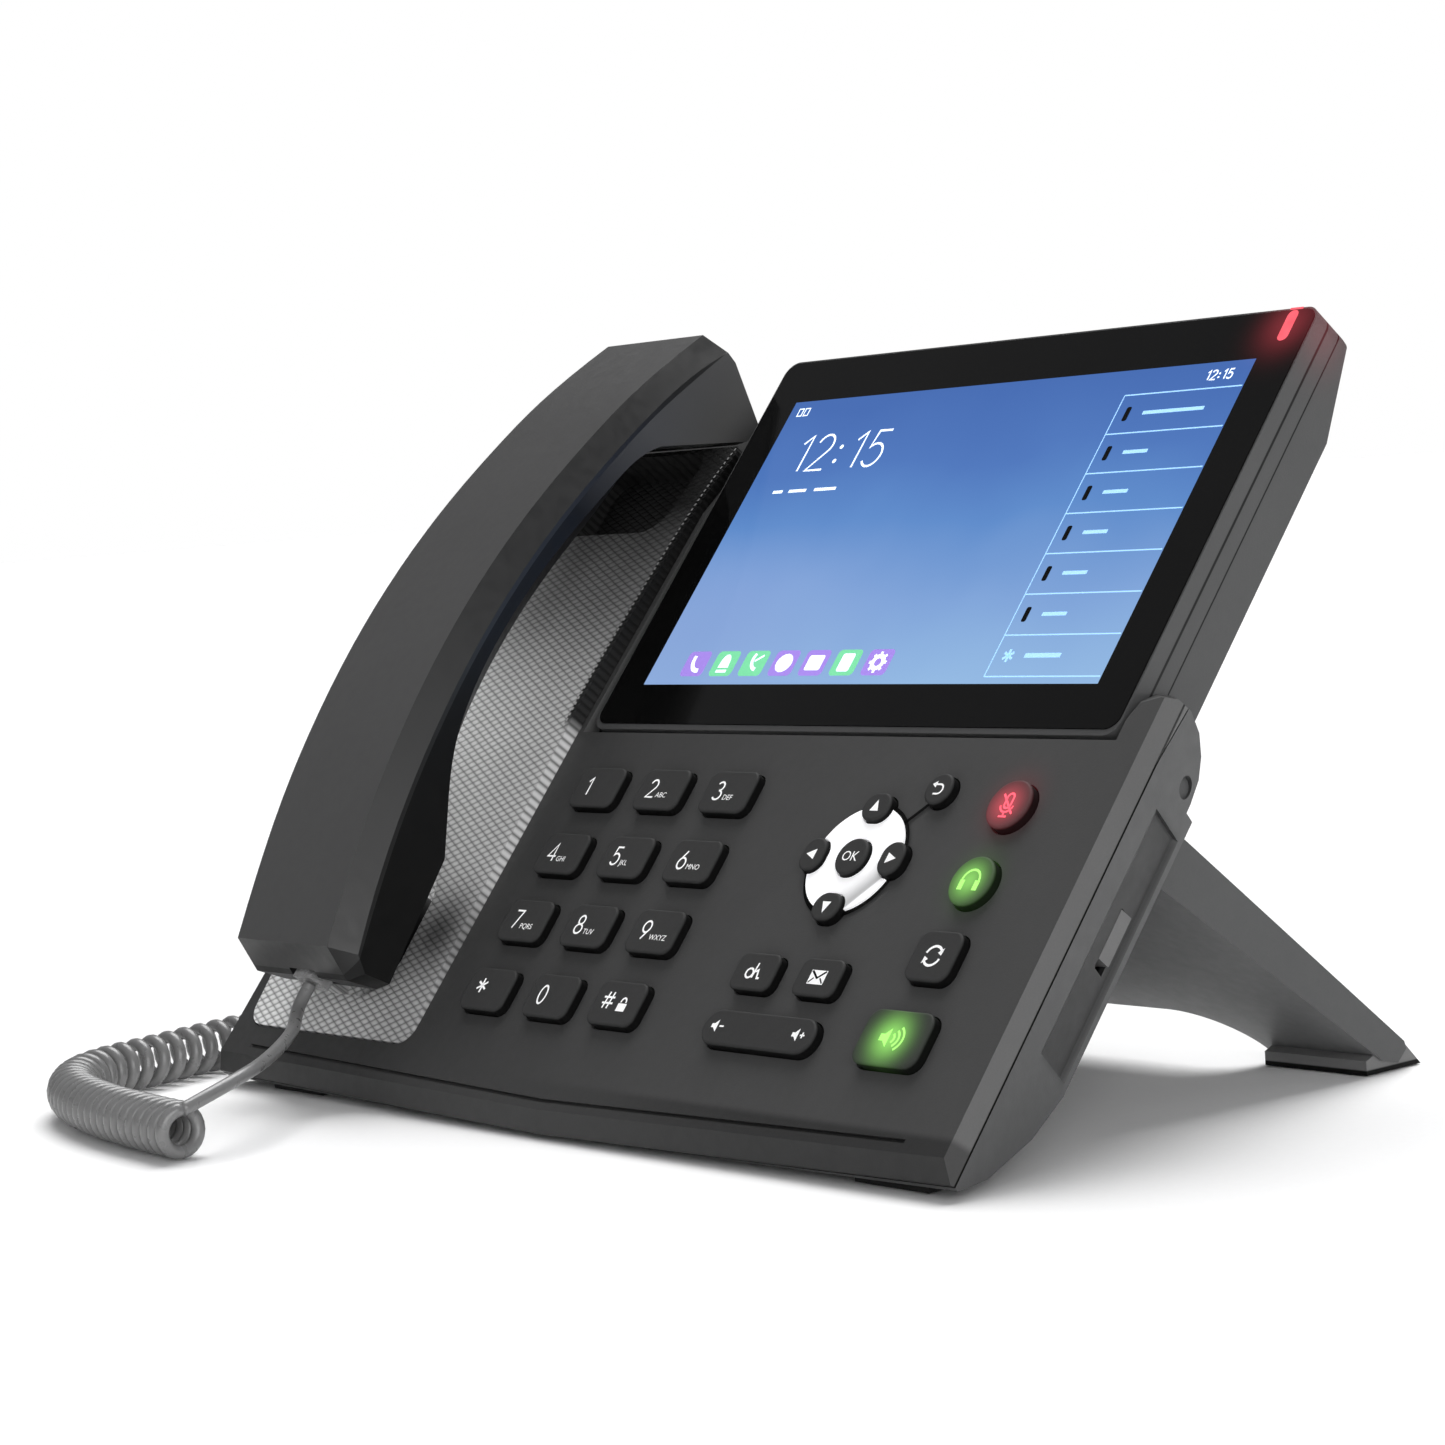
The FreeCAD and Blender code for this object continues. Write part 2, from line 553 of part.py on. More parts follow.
def handset_outline(u, inset):
    """Side outline of the handset; inset is 0 on the ridge and 1 on the widest side."""
    drop = BEVEL_DROP * inset
    ear_end, mouth_end = 1.4 * inset, 1.6 * inset
    top = [(v, w - drop) for v, w in RIDGE]
    top[0] = (top[0][0] - ear_end, top[0][1] - 0.6 * inset)
    top[-1] = (top[-1][0] + mouth_end, top[-1][1])
    rise = [0.4, 1.4, 3.0, 4.2, 4.4, 4.2, 3.0, 1.6, 0.6]
    under = [(v, w + r * inset) for (v, w), r in zip(UNDER, rise)]
    chin = (-138.4 + 2.6 * inset, 14.6 - 0.6 * inset)
    chin_low = (-135.6 + 1.4 * inset, 6.2 + 0.6 * inset)
    ear_low = (EAR_LOW[0] + 0.2 * inset, EAR_LOW[1] + 0.8 * inset)
    ear_tip = (EAR_TIP[0] - 0.4 * inset, EAR_TIP[1] + 0.8 * inset)
    ear_side = (53.9 - 0.8 * inset, 6.2)
    return curve_u(u, [top, [top[-1], chin], [chin, chin_low], [chin_low, under[-1]], under[::-1],
                       [under[0], ear_low], [ear_low, ear_tip], [ear_tip, ear_side], [ear_side, top[0]]])


def handset_solid():
    stations = ((-SIDE_HALF, 1.0), (-RIDGE_HALF, 0.0), (RIDGE_HALF, 0.0), (SIDE_HALF, 1.0))
    wires = [handset_outline(HANDSET_U + du, inset) for du, inset in stations]
    return Part.makeLoft(wires, True, True)


def parting_tool():
    """Everything above the handset's parting line, which follows the ridge."""
    line = [(v, w - BEVEL_DROP - SIDE_LIP) for v, w in RIDGE]
    line[0] = (70.0, line[0][1] - 4.5)
    line[-1] = (-150.0, line[-1][1] - 4.5)
    wire = curve_u(HANDSET_U - 40, [line, [line[-1], (-150, 60)], [(-150, 60), (70, 60)], [(70, 60), line[0]]])
    return Part.Face(wire).extrude(V(80, 0, 0))


def handset_hollow():
    upper = [(v, w - 2.6) for v, w in RIDGE]
    upper[0] = (51.0, 11.6)
    upper[-1] = (-130.0, 22.0)
    lower = [(v, w + 2.4) for v, w in UNDER]
    lower[0] = (24.2, 14.4)
    wire = curve_u(HANDSET_U - 17.5, [upper, [upper[-1], (-130.0, 8.8)], [(-130.0, 8.8), lower[-1]], lower[::-1],
                                      [lower[0], (40.6, -6.2)], [(40.6, -6.2), (43.4, -7.4)],
                                      [(43.4, -7.4), upper[0]]])
    return Part.Face(wire).extrude(V(35, 0, 0))


JACK_V, JACK_W = -139.2, 12.4
JACK_U = HANDSET_U + 2.0


def handset_jack_cut(grow):
    return block(JACK_U - 5.6 - grow, JACK_U + 5.6 + grow, -142, -121.5 - grow, JACK_W - 4.2 - grow,
                 JACK_W + 4.2 + grow)


def ear_disc(depth0, depth1, r):
    """Disc on the tilted earpiece face, between two depths measured into the handset."""
    middle = V(HANDSET_U, (EAR_HIGH[0] + EAR_LOW[0]) / 2, (EAR_HIGH[1] + EAR_LOW[1]) / 2)
    along = V(0, EAR_LOW[0] - EAR_HIGH[0], EAR_LOW[1] - EAR_HIGH[1])
    inward = V(1, 0, 0).cross(along).normalize()
    return Part.makeCylinder(r, depth1 - depth0, middle + inward * depth0, inward)


def mouth_boss():
    return rod_w(MOUTH_U, MOUTH_V, MOUTH_SEAT_W, 12.0, MOUTH_R)


def handset_shells():
    body = handset_solid()
    outside = body.common(parting_tool()).cut(handset_hollow())
    outside = outside.cut(handset_jack_cut(0)).cut(ear_disc(2.5, 7.6, 11.0))
    inside = body.cut(parting_tool()).cut(handset_hollow()).fuse(mouth_boss())
    cuts = [rod_w(MOUTH_U, MOUTH_V, MOUTH_SEAT_W + 2.0, 14.0, MOUTH_R - 2.0),
            ear_disc(-2.0, 1.8, 10.6), ear_disc(0.0, 3.0, 8.6), ear_disc(2.5, 7.6, 11.0), handset_jack_cut(0)]
    for step in (-3.0, 0.0, 3.0):
        cuts.append(rod_w(MOUTH_U + step, MOUTH_V, -12, 0, 0.8))
    for tool in cuts:
        inside = inside.cut(tool)
    return outside, inside.cut(parting_tool())


def ear_grille():
    """Perforated disc over the earpiece."""
    disc = ear_disc(0.3, 1.7, 10.5)
    inward = V(1, 0, 0).cross(V(0, EAR_LOW[0] - EAR_HIGH[0], EAR_LOW[1] - EAR_HIGH[1])).normalize()
    along = V(0, EAR_LOW[0] - EAR_HIGH[0], EAR_LOW[1] - EAR_HIGH[1]).normalize()
    hole = ear_disc(-1.0, 3.0, 1.1)
    disc = disc.cut(hole)
    for index in range(6):
        turn = FreeCAD.Rotation(inward, 60 * index)
        spot = hole.copy()
        spot.translate(turn.multVec(along) * 5.0)
        disc = disc.cut(spot)
    return disc


def ear_speaker():
    return ear_disc(2.6, 7.4, 10.8)


def microphone():
    return rod_w(MOUTH_U, MOUTH_V, MOUTH_SEAT_W + 2.2, MOUTH_SEAT_W + 7.2, 4.8)


def handset_weight():
    return block(HANDSET_U - 12, HANDSET_U + 12, -72, -36, 26.0, 30.5)


def handset_jack():
    body = block(JACK_U - 5.5, JACK_U + 5.5, -136.0, -121.6, JACK_W - 4.1, JACK_W + 4.1)
    return body.cut(block(JACK_U - 4.0, JACK_U + 4.0, -140, -125.0, JACK_W - 3.4, JACK_W + 3.4))


def plug_handset():
    body = block(JACK_U - 3.85, JACK_U + 3.85, JACK_V, -125.6, JACK_W - 3.1, JACK_W + 3.1)
    latch = block(JACK_U - 1.6, JACK_U + 1.6, JACK_V - 0.6, -131.0, JACK_W + 3.1, JACK_W + 3.35)
    return body.fuse(latch)


def plug_base():
    cu = CORD_JACK_U + SMALL_W / 2
    return block(cu - 3.85, cu + 3.85, -92.5 - 3.1, -92.5 + 3.1, -27.4, -17.0)


# ---------------------------------------------------------------- cord

def at(x, y, z):
    """A route point on the table, given from the point under the middle of the screen."""
    return V(x + CENTRE_X, y + CENTRE_Y, z)


JACK_POINT = FRAME.multVec(V(JACK_U, JACK_V - 0.3, JACK_W))
BASE_POINT = FRAME.multVec(V(CORD_JACK_U + SMALL_W / 2, -92.5, -27.4))
LEAD_ROUTE = [JACK_POINT, at(-125.0, -102.44, 24.16), at(-121.5, -106.2, 21.3), at(-113.0, -112.5, 19.3),
              at(-99.7, -128.0, 16.6),
              at(-86.1, -144.0, 16.1), at(-86.6, -159.3, 11.3)]
COIL_ROUTE = [at(-84.7, -159.3, COIL_R), at(-110.0, -158.0, COIL_R), at(-138.0, -154.0, COIL_R),
              at(-163.0, -146.0, COIL_R), at(-179.0, -131.0, COIL_R), at(-184.6, -107.0, COIL_R),
              at(-191.0, -84.0, COIL_R), at(-196.0, -60.0, COIL_R)]
TAIL_ROUTE = [at(-196.0, -60.0, COIL_R), at(-200.0, -37.0, 6.0), at(-194.0, -14.0, 5.5), at(-171.0, -2.0, 10.5),
              at(-149.0, -15.0, 21.5), BASE_POINT]


def tube(route, r, name):
    """Round tube along straight runs joined by tangent arcs."""
    edges = []
    start = route[0]
    radii = []
    for before, corner, after in zip(route, route[1:], route[2:]):
        into = (corner - before)
        out = (after - corner)
        reach = 0.45 * min(into.Length, out.Length)
        turn = into.getAngle(out)
        radius = reach / tan(turn / 2)
        radii.append(radius)
        into.normalize()
        out.normalize()
        first = corner - into * reach
        last = corner + out * reach
        towards = (out - into).normalize()
        apex = corner + towards * (radius * (1 / (1 + tan(turn / 2) ** 2) ** -0.5 - 1))
        edges.append(Part.LineSegment(start, first).toShape())
        edges.append(Part.Arc(first, apex, last).toShape())
        start = last
    edges.append(Part.LineSegment(start, route[-1]).toShape())
    path = Part.Wire(edges)
    length = path.Length
    ring = Part.Wire(Part.makeCircle(r, route[0], route[1] - route[0]))
    solid = path.makePipeShell([ring], True, False)
    print(name, "radii", [round(x, 1) for x in radii], "length", round(length, 1),
          "volume", round(solid.Volume / (pi * r * r * length), 4))
    return solid


def save_world(name, shape):
    shape.exportStep("parts/%s.step" % name)


# ---------------------------------------------------------------- build

def build_base():
    top, bottom = base_shells()
    pocket = insert_outline(0.3, INSERT_LOW - 0.5, 8.0).cut(hinge_boss())
    for tool in key_openings() + hinge_bore() + [pocket, front_groove()]:
        top = top.cut(tool)
    bottom = fuse([bottom] + screw_bosses())
    for tool in bottom_cuts() + [pocket]:
        bottom = bottom.cut(tool)
    save("base_top_shell", top)
    save("base_bottom_shell", bottom)
    save("base_screws", screws())
    save("front_feet", front_feet(bottom))
    save("cradle_insert", cradle_insert())
    save("hook_switch", hook_switch())
    save("nav_plate", nav_plate())
    save("keypad_mat", keypad_mat())
    save("main_board", main_board())
    save("loudspeaker", loudspeaker())
    save("ethernet_jacks", ethernet_jacks())
    save("small_jacks", Part.makeCompound([small_jack(HEADSET_U), small_jack(CORD_JACK_U)]))
    save("power_jack", power_jack())
    save("usb_port", usb_port())


def build_keys():
    for name, outline in key_table():
        save(name, key_cap(outline))
    save("key_volume", volume_rocker())


def build_display():
    save("display_frame", display_frame())
    save("display_glass", display_glass())
    save("lcd_panel", lcd_panel())
    save("display_board", display_board())
    save("light_bar", light_bar(0))
    save("display_rear", display_rear())
    save("hinge_pins", Part.makeCompound(hinge_pins(0)))


def build_stand():
    save("stand_body", stand_body())
    save("stand_pads", stand_pads())


def build_handset():
    outside, inside = handset_shells()
    save("handset_back", outside)
    save("handset_front", inside)
    save("ear_grille", ear_grille())
    save("ear_speaker", ear_speaker())
    save("microphone", microphone())
    save("handset_weight", handset_weight())
    save("handset_jack", handset_jack())
    save("plug_handset", plug_handset())


def build_cord():
    save("plug_base", plug_base())
    save_world("cord_lead", tube(LEAD_ROUTE, CORD_R, "lead"))
    save_world("cord_coil", tube(COIL_ROUTE, COIL_R, "coil"))
    save_world("cord_tail", tube(TAIL_ROUTE, CORD_R, "tail"))


build_base()
build_keys()
build_display()
build_stand()
build_handset()
build_cord()
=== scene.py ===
import json
import math

import bmesh
import bpy
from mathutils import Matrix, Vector


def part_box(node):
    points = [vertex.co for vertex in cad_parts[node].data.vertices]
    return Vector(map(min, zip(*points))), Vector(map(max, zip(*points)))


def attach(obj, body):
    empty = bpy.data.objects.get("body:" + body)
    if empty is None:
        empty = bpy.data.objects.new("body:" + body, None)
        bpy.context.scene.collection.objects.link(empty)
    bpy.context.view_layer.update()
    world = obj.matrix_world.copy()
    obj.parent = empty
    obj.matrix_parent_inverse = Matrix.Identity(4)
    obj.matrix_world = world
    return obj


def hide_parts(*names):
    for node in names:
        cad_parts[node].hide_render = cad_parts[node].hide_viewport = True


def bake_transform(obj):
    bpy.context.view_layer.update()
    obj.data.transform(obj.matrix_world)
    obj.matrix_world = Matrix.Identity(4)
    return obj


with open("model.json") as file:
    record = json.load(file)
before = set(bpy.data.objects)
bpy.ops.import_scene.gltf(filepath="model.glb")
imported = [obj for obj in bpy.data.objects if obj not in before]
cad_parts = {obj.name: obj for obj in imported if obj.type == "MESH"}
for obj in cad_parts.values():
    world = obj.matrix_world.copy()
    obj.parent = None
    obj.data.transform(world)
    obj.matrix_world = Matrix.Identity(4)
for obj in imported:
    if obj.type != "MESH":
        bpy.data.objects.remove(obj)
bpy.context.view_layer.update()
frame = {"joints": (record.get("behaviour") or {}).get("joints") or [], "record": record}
STAGE = bpy.context.scene.collection

# The panel frame: U to the right, V up the sloping panel, W out of its face, in mm from the screen's middle.
SLOPE = math.radians(50)
RIGHT = Vector((1, 0, 0))
UP = Vector((0, math.cos(SLOPE), math.sin(SLOPE)))
OUT = Vector((0, -math.sin(SLOPE), math.cos(SLOPE)))
MM = 0.001
TILT = next(joint for joint in frame["joints"] if joint["name"] == "display_tilt")
ORIGIN = Vector(TILT["pos_m"]) + 53.5 * MM * UP + 10.0 * MM * OUT


def panel(u, v, w):
    """The point at that place on the sloping panel, in metres."""
    return ORIGIN + (u * RIGHT + v * UP + w * OUT) * MM


def at(x, y, z):
    """The point that part.py calls by the same numbers, in metres."""
    return Vector((x * MM + ORIGIN.x, y * MM + ORIGIN.y, z * MM))


def centre(node):
    """The middle of a CAD node's box."""
    low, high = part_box(node)
    return (low + high) / 2


def spot(node):
    """Where a key's middle is on the panel, as U and V in mm."""
    offset = (centre(node) - ORIGIN) / MM
    return offset.dot(RIGHT), offset.dot(UP)


def smooth(t):
    t = min(max(t, 0.0), 1.0)
    return t * t * (3 - 2 * t)


def linear(red, green, blue):
    """A colour given as 0 to 255 screen values, as a shader colour."""
    parts = [c / 255 for c in (red, green, blue)]
    return tuple(c / 12.92 if c <= 0.04045 else ((c + 0.055) / 1.055) ** 2.4 for c in parts) + (1.0,)


# ---------------------------------------------------------------- materials

class Shade:
    """The node graph of one procedural material. Its lengths are in mm of the object's own space."""

    def __init__(self, name):
        self.material = bpy.data.materials.new(name)
        self.material.use_nodes = True
        self.tree = self.material.node_tree
        self.bsdf = self.tree.nodes["Principled BSDF"]
        self.place = self.node("ShaderNodeTexCoord").outputs["Object"]

    def node(self, kind, **settings):
        made = self.tree.nodes.new(kind)
        for name, value in settings.items():
            setattr(made, name, value)
        return made

    def feed(self, socket, value):
        if isinstance(value, bpy.types.NodeSocket):
            self.tree.links.new(value, socket)
        else:
            socket.default_value = value

    def put(self, socket, value):
        self.feed(self.bsdf.inputs[socket], value)

    def math(self, operation, *values, clamp=False):
        made = self.node("ShaderNodeMath", operation=operation, use_clamp=clamp)
        for socket, value in zip(made.inputs, values):
            self.feed(socket, value)
        return made.outputs[0]

    def vector(self, operation, *values, output="Vector"):
        made = self.node("ShaderNodeVectorMath", operation=operation)
        for socket, value in zip(made.inputs, values):
            self.feed(socket, value)
        return made.outputs[output]

    def scaled(self, colour, factor):
        made = self.node("ShaderNodeVectorMath", operation="SCALE")
        self.feed(made.inputs[0], colour)
        self.feed(made.inputs["Scale"], factor)
        return made.outputs[0]

    def mix(self, factor, first, second):
        made = self.node("ShaderNodeMix", data_type="RGBA")
        self.feed(made.inputs[0], factor)
        self.feed(made.inputs[6], first)
        self.feed(made.inputs[7], second)
        return made.outputs[2]

    def fade(self, value, low, high):
        """0 where value is at low, 1 where it is at high, with soft ends."""
        made = self.node("ShaderNodeMapRange", interpolation_type="SMOOTHSTEP")
        self.feed(made.inputs["Value"], value)
        made.inputs["From Min"].default_value = low
        made.inputs["From Max"].default_value = high
        return made.outputs["Result"]

    def span(self, value, low, high, first, last):
        """first where value is at low, last where it is at high."""
        made = self.node("ShaderNodeMapRange", clamp=True)
        self.feed(made.inputs["Value"], value)
        made.inputs["From Min"].default_value = low
        made.inputs["From Max"].default_value = high
        made.inputs["To Min"].default_value = first
        made.inputs["To Max"].default_value = last
        return made.outputs["Result"]

    def noise(self, size, detail=3.0, place=None):
        """Noise whose lumps are about that many mm across."""
        made = self.node("ShaderNodeTexNoise")
        self.feed(made.inputs["Vector"], place or self.place)
        made.inputs["Scale"].default_value = 1000 / size
        made.inputs["Detail"].default_value = detail
        return made.outputs["Fac"]

    def along(self, direction, start=ORIGIN):
        """How far the surface point is from start along a direction, in mm."""
        offset = self.vector("SUBTRACT", self.place, tuple(start))
        reach = self.vector("DOT_PRODUCT", offset, tuple(direction), output="Value")
        return self.math("MULTIPLY", reach, 1000.0)

    def glow(self, middle, radius):
        """1 at a point, fading over that many mm."""
        reach = self.vector("DISTANCE", self.place, tuple(middle), output="Value")
        ratio = self.math("MULTIPLY", reach, 1000.0 / radius)
        square = self.math("MULTIPLY", ratio, ratio)
        return self.math("EXPONENT", self.math("MULTIPLY", square, -1.0))

    def facing(self, axis):
        """How much the surface looks along a world axis, from -1 to 1."""
        split = self.node("ShaderNodeSeparateXYZ")
        self.feed(split.inputs[0], self.node("ShaderNodeNewGeometry").outputs["Normal"])
        return split.outputs[axis]

    def bump(self, height, depth):
        """Relief of that many mm from a 0 to 1 height."""
        made = self.node("ShaderNodeBump")
        made.inputs["Strength"].default_value = 1.0
        made.inputs["Distance"].default_value = depth * MM
        self.feed(made.inputs["Height"], height)
        self.put("Normal", made.outputs["Normal"])

    def lights(self, spots, within=1.0):
        """Add the light that falls on the surface round lit spots: (point, radius, colour)."""
        total = (0.0, 0.0, 0.0)
        for middle, radius, colour in spots:
            share = self.math("MULTIPLY", self.glow(middle, radius), within)
            total = self.vector("ADD", total, self.scaled(colour[:3], share))
        self.put("Emission Color", total)
        self.put("Emission Strength", 1.0)


def seam(shade, w, half=0.32):
    """0 in the shadow of a joint between two shells, 1 elsewhere."""
    off = shade.math("ABSOLUTE", shade.math("SUBTRACT", shade.along(OUT), w))
    return shade.fade(off, half * 0.6, half * 1.4)


def grey(value, warm=1.0):
    return (value * warm, value, value * (2 - warm), 1.0)


def plastic(name, colour, rough=0.45, grain=0.4, depth=0.02, level=0.4, tone=None):
    """Moulded plastic: a fine grain in relief, a cloudy tone, and worn-in variation of the gloss."""
    shade = Shade(name)
    fine = shade.noise(grain, 2.0)
    cloud = shade.noise(28.0, 4.0)
    patch = shade.math("ADD", shade.math("MULTIPLY", cloud, 0.16), shade.math("MULTIPLY", fine, 0.14))
    factor = shade.math("ADD", patch, 0.85)
    if tone:
        factor = shade.math("MULTIPLY", factor, tone(shade))
    shade.put("Base Color", shade.scaled(colour[:3], factor))
    shade.put("Roughness", shade.span(shade.noise(3.0, 4.0), 0.3, 0.7, rough - 0.05, rough + 0.05))
    shade.put("Specular IOR Level", level)
    shade.bump(fine, depth)
    return shade


# Heights (W) of the joints between shells and of the key tops, and the lit half sizes of the screen, in mm.
SHELL_JOINT = -4.4
DISPLAY_JOINT = -8.65
KEY_TOP = 2.2
SCREEN_HALF_U = 77.1
SCREEN_HALF_V = 42.95
LAMP_SPOT = (81.8, 52.0)

RED = linear(214, 72, 86)
GREEN = linear(120, 190, 82)

# The colour of each lit key's lamp with the radius of its light in mm, and how strong that light is.
LIT_KEYS = {"key_mute": (RED, 4.4), "key_headset": (GREEN, 4.2), "key_speaker": (GREEN, 4.8)}
GLOW = {"key_mute": 0.75, "key_headset": 1.25, "key_speaker": 1.45}


def key_glow(node, above=KEY_TOP):
    """The point that many mm above the panel, over the middle of a key."""
    u, v = spot(node)
    return panel(u, v, above)


def dimmed(colour, factor):
    """The red, green and blue of a colour, each times a factor."""
    return tuple(c * factor for c in colour[:3])


def deck_painted_light(shade):
    """Painted light and shade: darker towards the cradle and on the front lip, paler on the flank, in painted
    shadow at the shell joint.
    """
    across = shade.span(shade.along(RIGHT), -95.0, 30.0, 0.8, 1.12)
    flank = shade.span(shade.facing("X"), 0.4, 0.95, 1.0, 2.1)
    lowest = shade.fade(shade.along(UP), -149.5, -151.5)
    lip = shade.math("MULTIPLY", lowest, shade.fade(shade.along(RIGHT), -70.0, 50.0))
    tone = shade.math("MULTIPLY", shade.math("MULTIPLY", across, flank), shade.span(lip, 0.0, 1.0, 1.0, 0.45))
    return shade.math("MULTIPLY", tone, seam(shade, SHELL_JOINT))


def deck_material():
    """The panel's plastic, with the light that two of the lit keys throw on it."""
    shade = plastic("deck_plastic", grey(0.05), 0.5, level=0.28, tone=deck_painted_light)
    spots = []
    for name in ("key_mute", "key_headset"):
        colour, radius = LIT_KEYS[name]
        beside = key_glow(name, 0.0) - 1.6 * MM * RIGHT + 1.6 * MM * UP
        spots.append((beside, radius * 1.35, dimmed(colour, 0.16)))
    shade.lights(spots)
    return shade.material


def screen_colour(shade):
    """The lit picture: deep blue at the top right to pale blue at the bottom."""
    u = shade.along(RIGHT)
    v = shade.along(UP)
    haze = shade.math("MULTIPLY", shade.math("SUBTRACT", shade.noise(45.0, 2.0), 0.5), 0.25)
    height = shade.math("ADD", shade.span(v, -43.0, 43.0, 0.0, 1.0), haze)
    ramp = shade.node("ShaderNodeValToRGB")
    shade.feed(ramp.inputs["Fac"], height)
    stops = ramp.color_ramp.elements
    stops[0].position = 0.0
    stops[0].color = linear(146, 184, 226)
    stops[1].position = 1.0
    stops[1].color = linear(66, 106, 178)
    for position, colour in ((0.3, (126, 163, 216)), (0.55, (92, 138, 202)), (0.75, (76, 118, 188))):
        stops.new(position).color = linear(*colour)
    violet = shade.math("MULTIPLY", shade.fade(u, 30.0, -80.0), shade.fade(v, 10.0, -30.0))
    return shade.mix(shade.math("MULTIPLY", violet, 0.5), ramp.outputs["Color"], linear(138, 160, 214))


def inside(shade, half_u, half_v):
    """1 on the lit rectangle and 0 round it."""
    across = shade.math("LESS_THAN", shade.math("ABSOLUTE", shade.along(RIGHT)), half_u)
    up = shade.math("LESS_THAN", shade.math("ABSOLUTE", shade.along(UP)), half_v)
    return shade.math("MULTIPLY", across, up)


def glass_material():
    """Black cover glass, with the lit picture and the lamp's glow showing through."""
    shade = Shade("cover_glass")
    smear = shade.noise(30.0, 5.0)
    shade.put("Base Color", shade.mix(smear, grey(0.002), grey(0.004)))
    shade.put("Roughness", shade.span(smear, 0.3, 0.7, 0.06, 0.12))
    shade.put("Specular IOR Level", 0.2)
    picture = shade.scaled(screen_colour(shade), inside(shade, SCREEN_HALF_U, SCREEN_HALF_V))
    lamp = shade.scaled(dimmed(RED, 0.3), shade.glow(panel(*LAMP_SPOT, 0), 7.0))
    shade.put("Emission Color", shade.vector("ADD", picture, lamp))
    shade.put("Emission Strength", 1.0)
    return shade.material


def shell_tone(shade):
    """Shadow in the joints, in the side recess and on the face that looks at the user."""
    v = shade.along(UP)
    w = shade.along(OUT)
    display_joint = shade.math("MAXIMUM", seam(shade, DISPLAY_JOINT), shade.math("LESS_THAN", v, -40.0))
    recess = shade.math("MULTIPLY", shade.fade(v, -126.0, -122.0), shade.fade(v, -64.0, -68.0))
    recess = shade.math("MULTIPLY", recess, shade.fade(w, -24.6, -23.4))
    recess = shade.math("MULTIPLY", recess, shade.fade(w, -11.8, -13.4))
    recess = shade.span(recess, 0.0, 1.0, 1.0, 0.42)
    front = shade.span(shade.facing("Y"), -0.9, -0.5, 0.55, 1.0)
    tone = shade.math("MULTIPLY", shade.math("MULTIPLY", display_joint, recess), front)
    return shade.math("MULTIPLY", tone, seam(shade, SHELL_JOINT))


def stand_painted_light(shade):
    """Painted light: the leg's inner face, which looks at the table, is brightened to be as pale as its
    sides.
    """
    return shade.span(shade.facing("Z"), 0.0, -0.6, 1.0, 2.2)


def shell_material():
    """The lower and rear shells' plastic, with a painted red glow from the message lamp beside it."""
    shade = plastic("shell_plastic", grey(0.078, 0.99), 0.48, level=0.35, tone=shell_tone)
    shade.lights([(panel(*LAMP_SPOT, -3.0), 8.0, dimmed(RED, 0.3))])
    return shade.material


def handset_painted_shade(shade):
    """Painted shade: the grip is darker towards its upper end, on faces that look down, and on the flank that
    looks to the right.
    """
    high = shade.span(shade.along(UP), -60.0, 40.0, 1.0, 0.72)
    low = shade.span(shade.facing("Z"), -0.4, -0.1, 0.25, 1.0)
    flank = shade.span(shade.facing("X"), 0.25, 0.75, 1.0, 0.3)
    return shade.math("MULTIPLY", shade.math("MULTIPLY", high, low), flank)


def inner_painted_shade(shade):
    """Painted light and shade: the earpiece end is painted as pale as the grip; the hollow below it is
    painted nearly black, as shadow.
    """
    return shade.span(shade.along(UP), -8.0, 22.0, 0.08, 1.0)


def pad_tone(shade):
    """Rubber pads are black only where they meet the table; above that their grey is painted paler than the
    stand's plastic, painted light that lifts them out of shade.
    """
    height = shade.along(Vector((0, 0, 1)), Vector((0, 0, 0)))
    return shade.fade(height, 0.9, 1.3)


def knit_pillow(shade, u, v):
    """Rows of small diamonds, 1 in the middle of each and 0 between them."""
    waver = shade.math("MULTIPLY", shade.noise(9.0, 2.0), 0.6)
    across = shade.math("ADD", shade.math("MULTIPLY", u, math.pi / 4.2), waver)
    rows = shade.math("MULTIPLY", v, math.pi / 2.1)
    first = shade.math("ABSOLUTE", shade.math("SINE", shade.math("ADD", across, rows)))
    second = shade.math("ABSOLUTE", shade.math("SINE", shade.math("SUBTRACT", across, rows)))
    return shade.math("SQRT", shade.math("MULTIPLY", first, second))


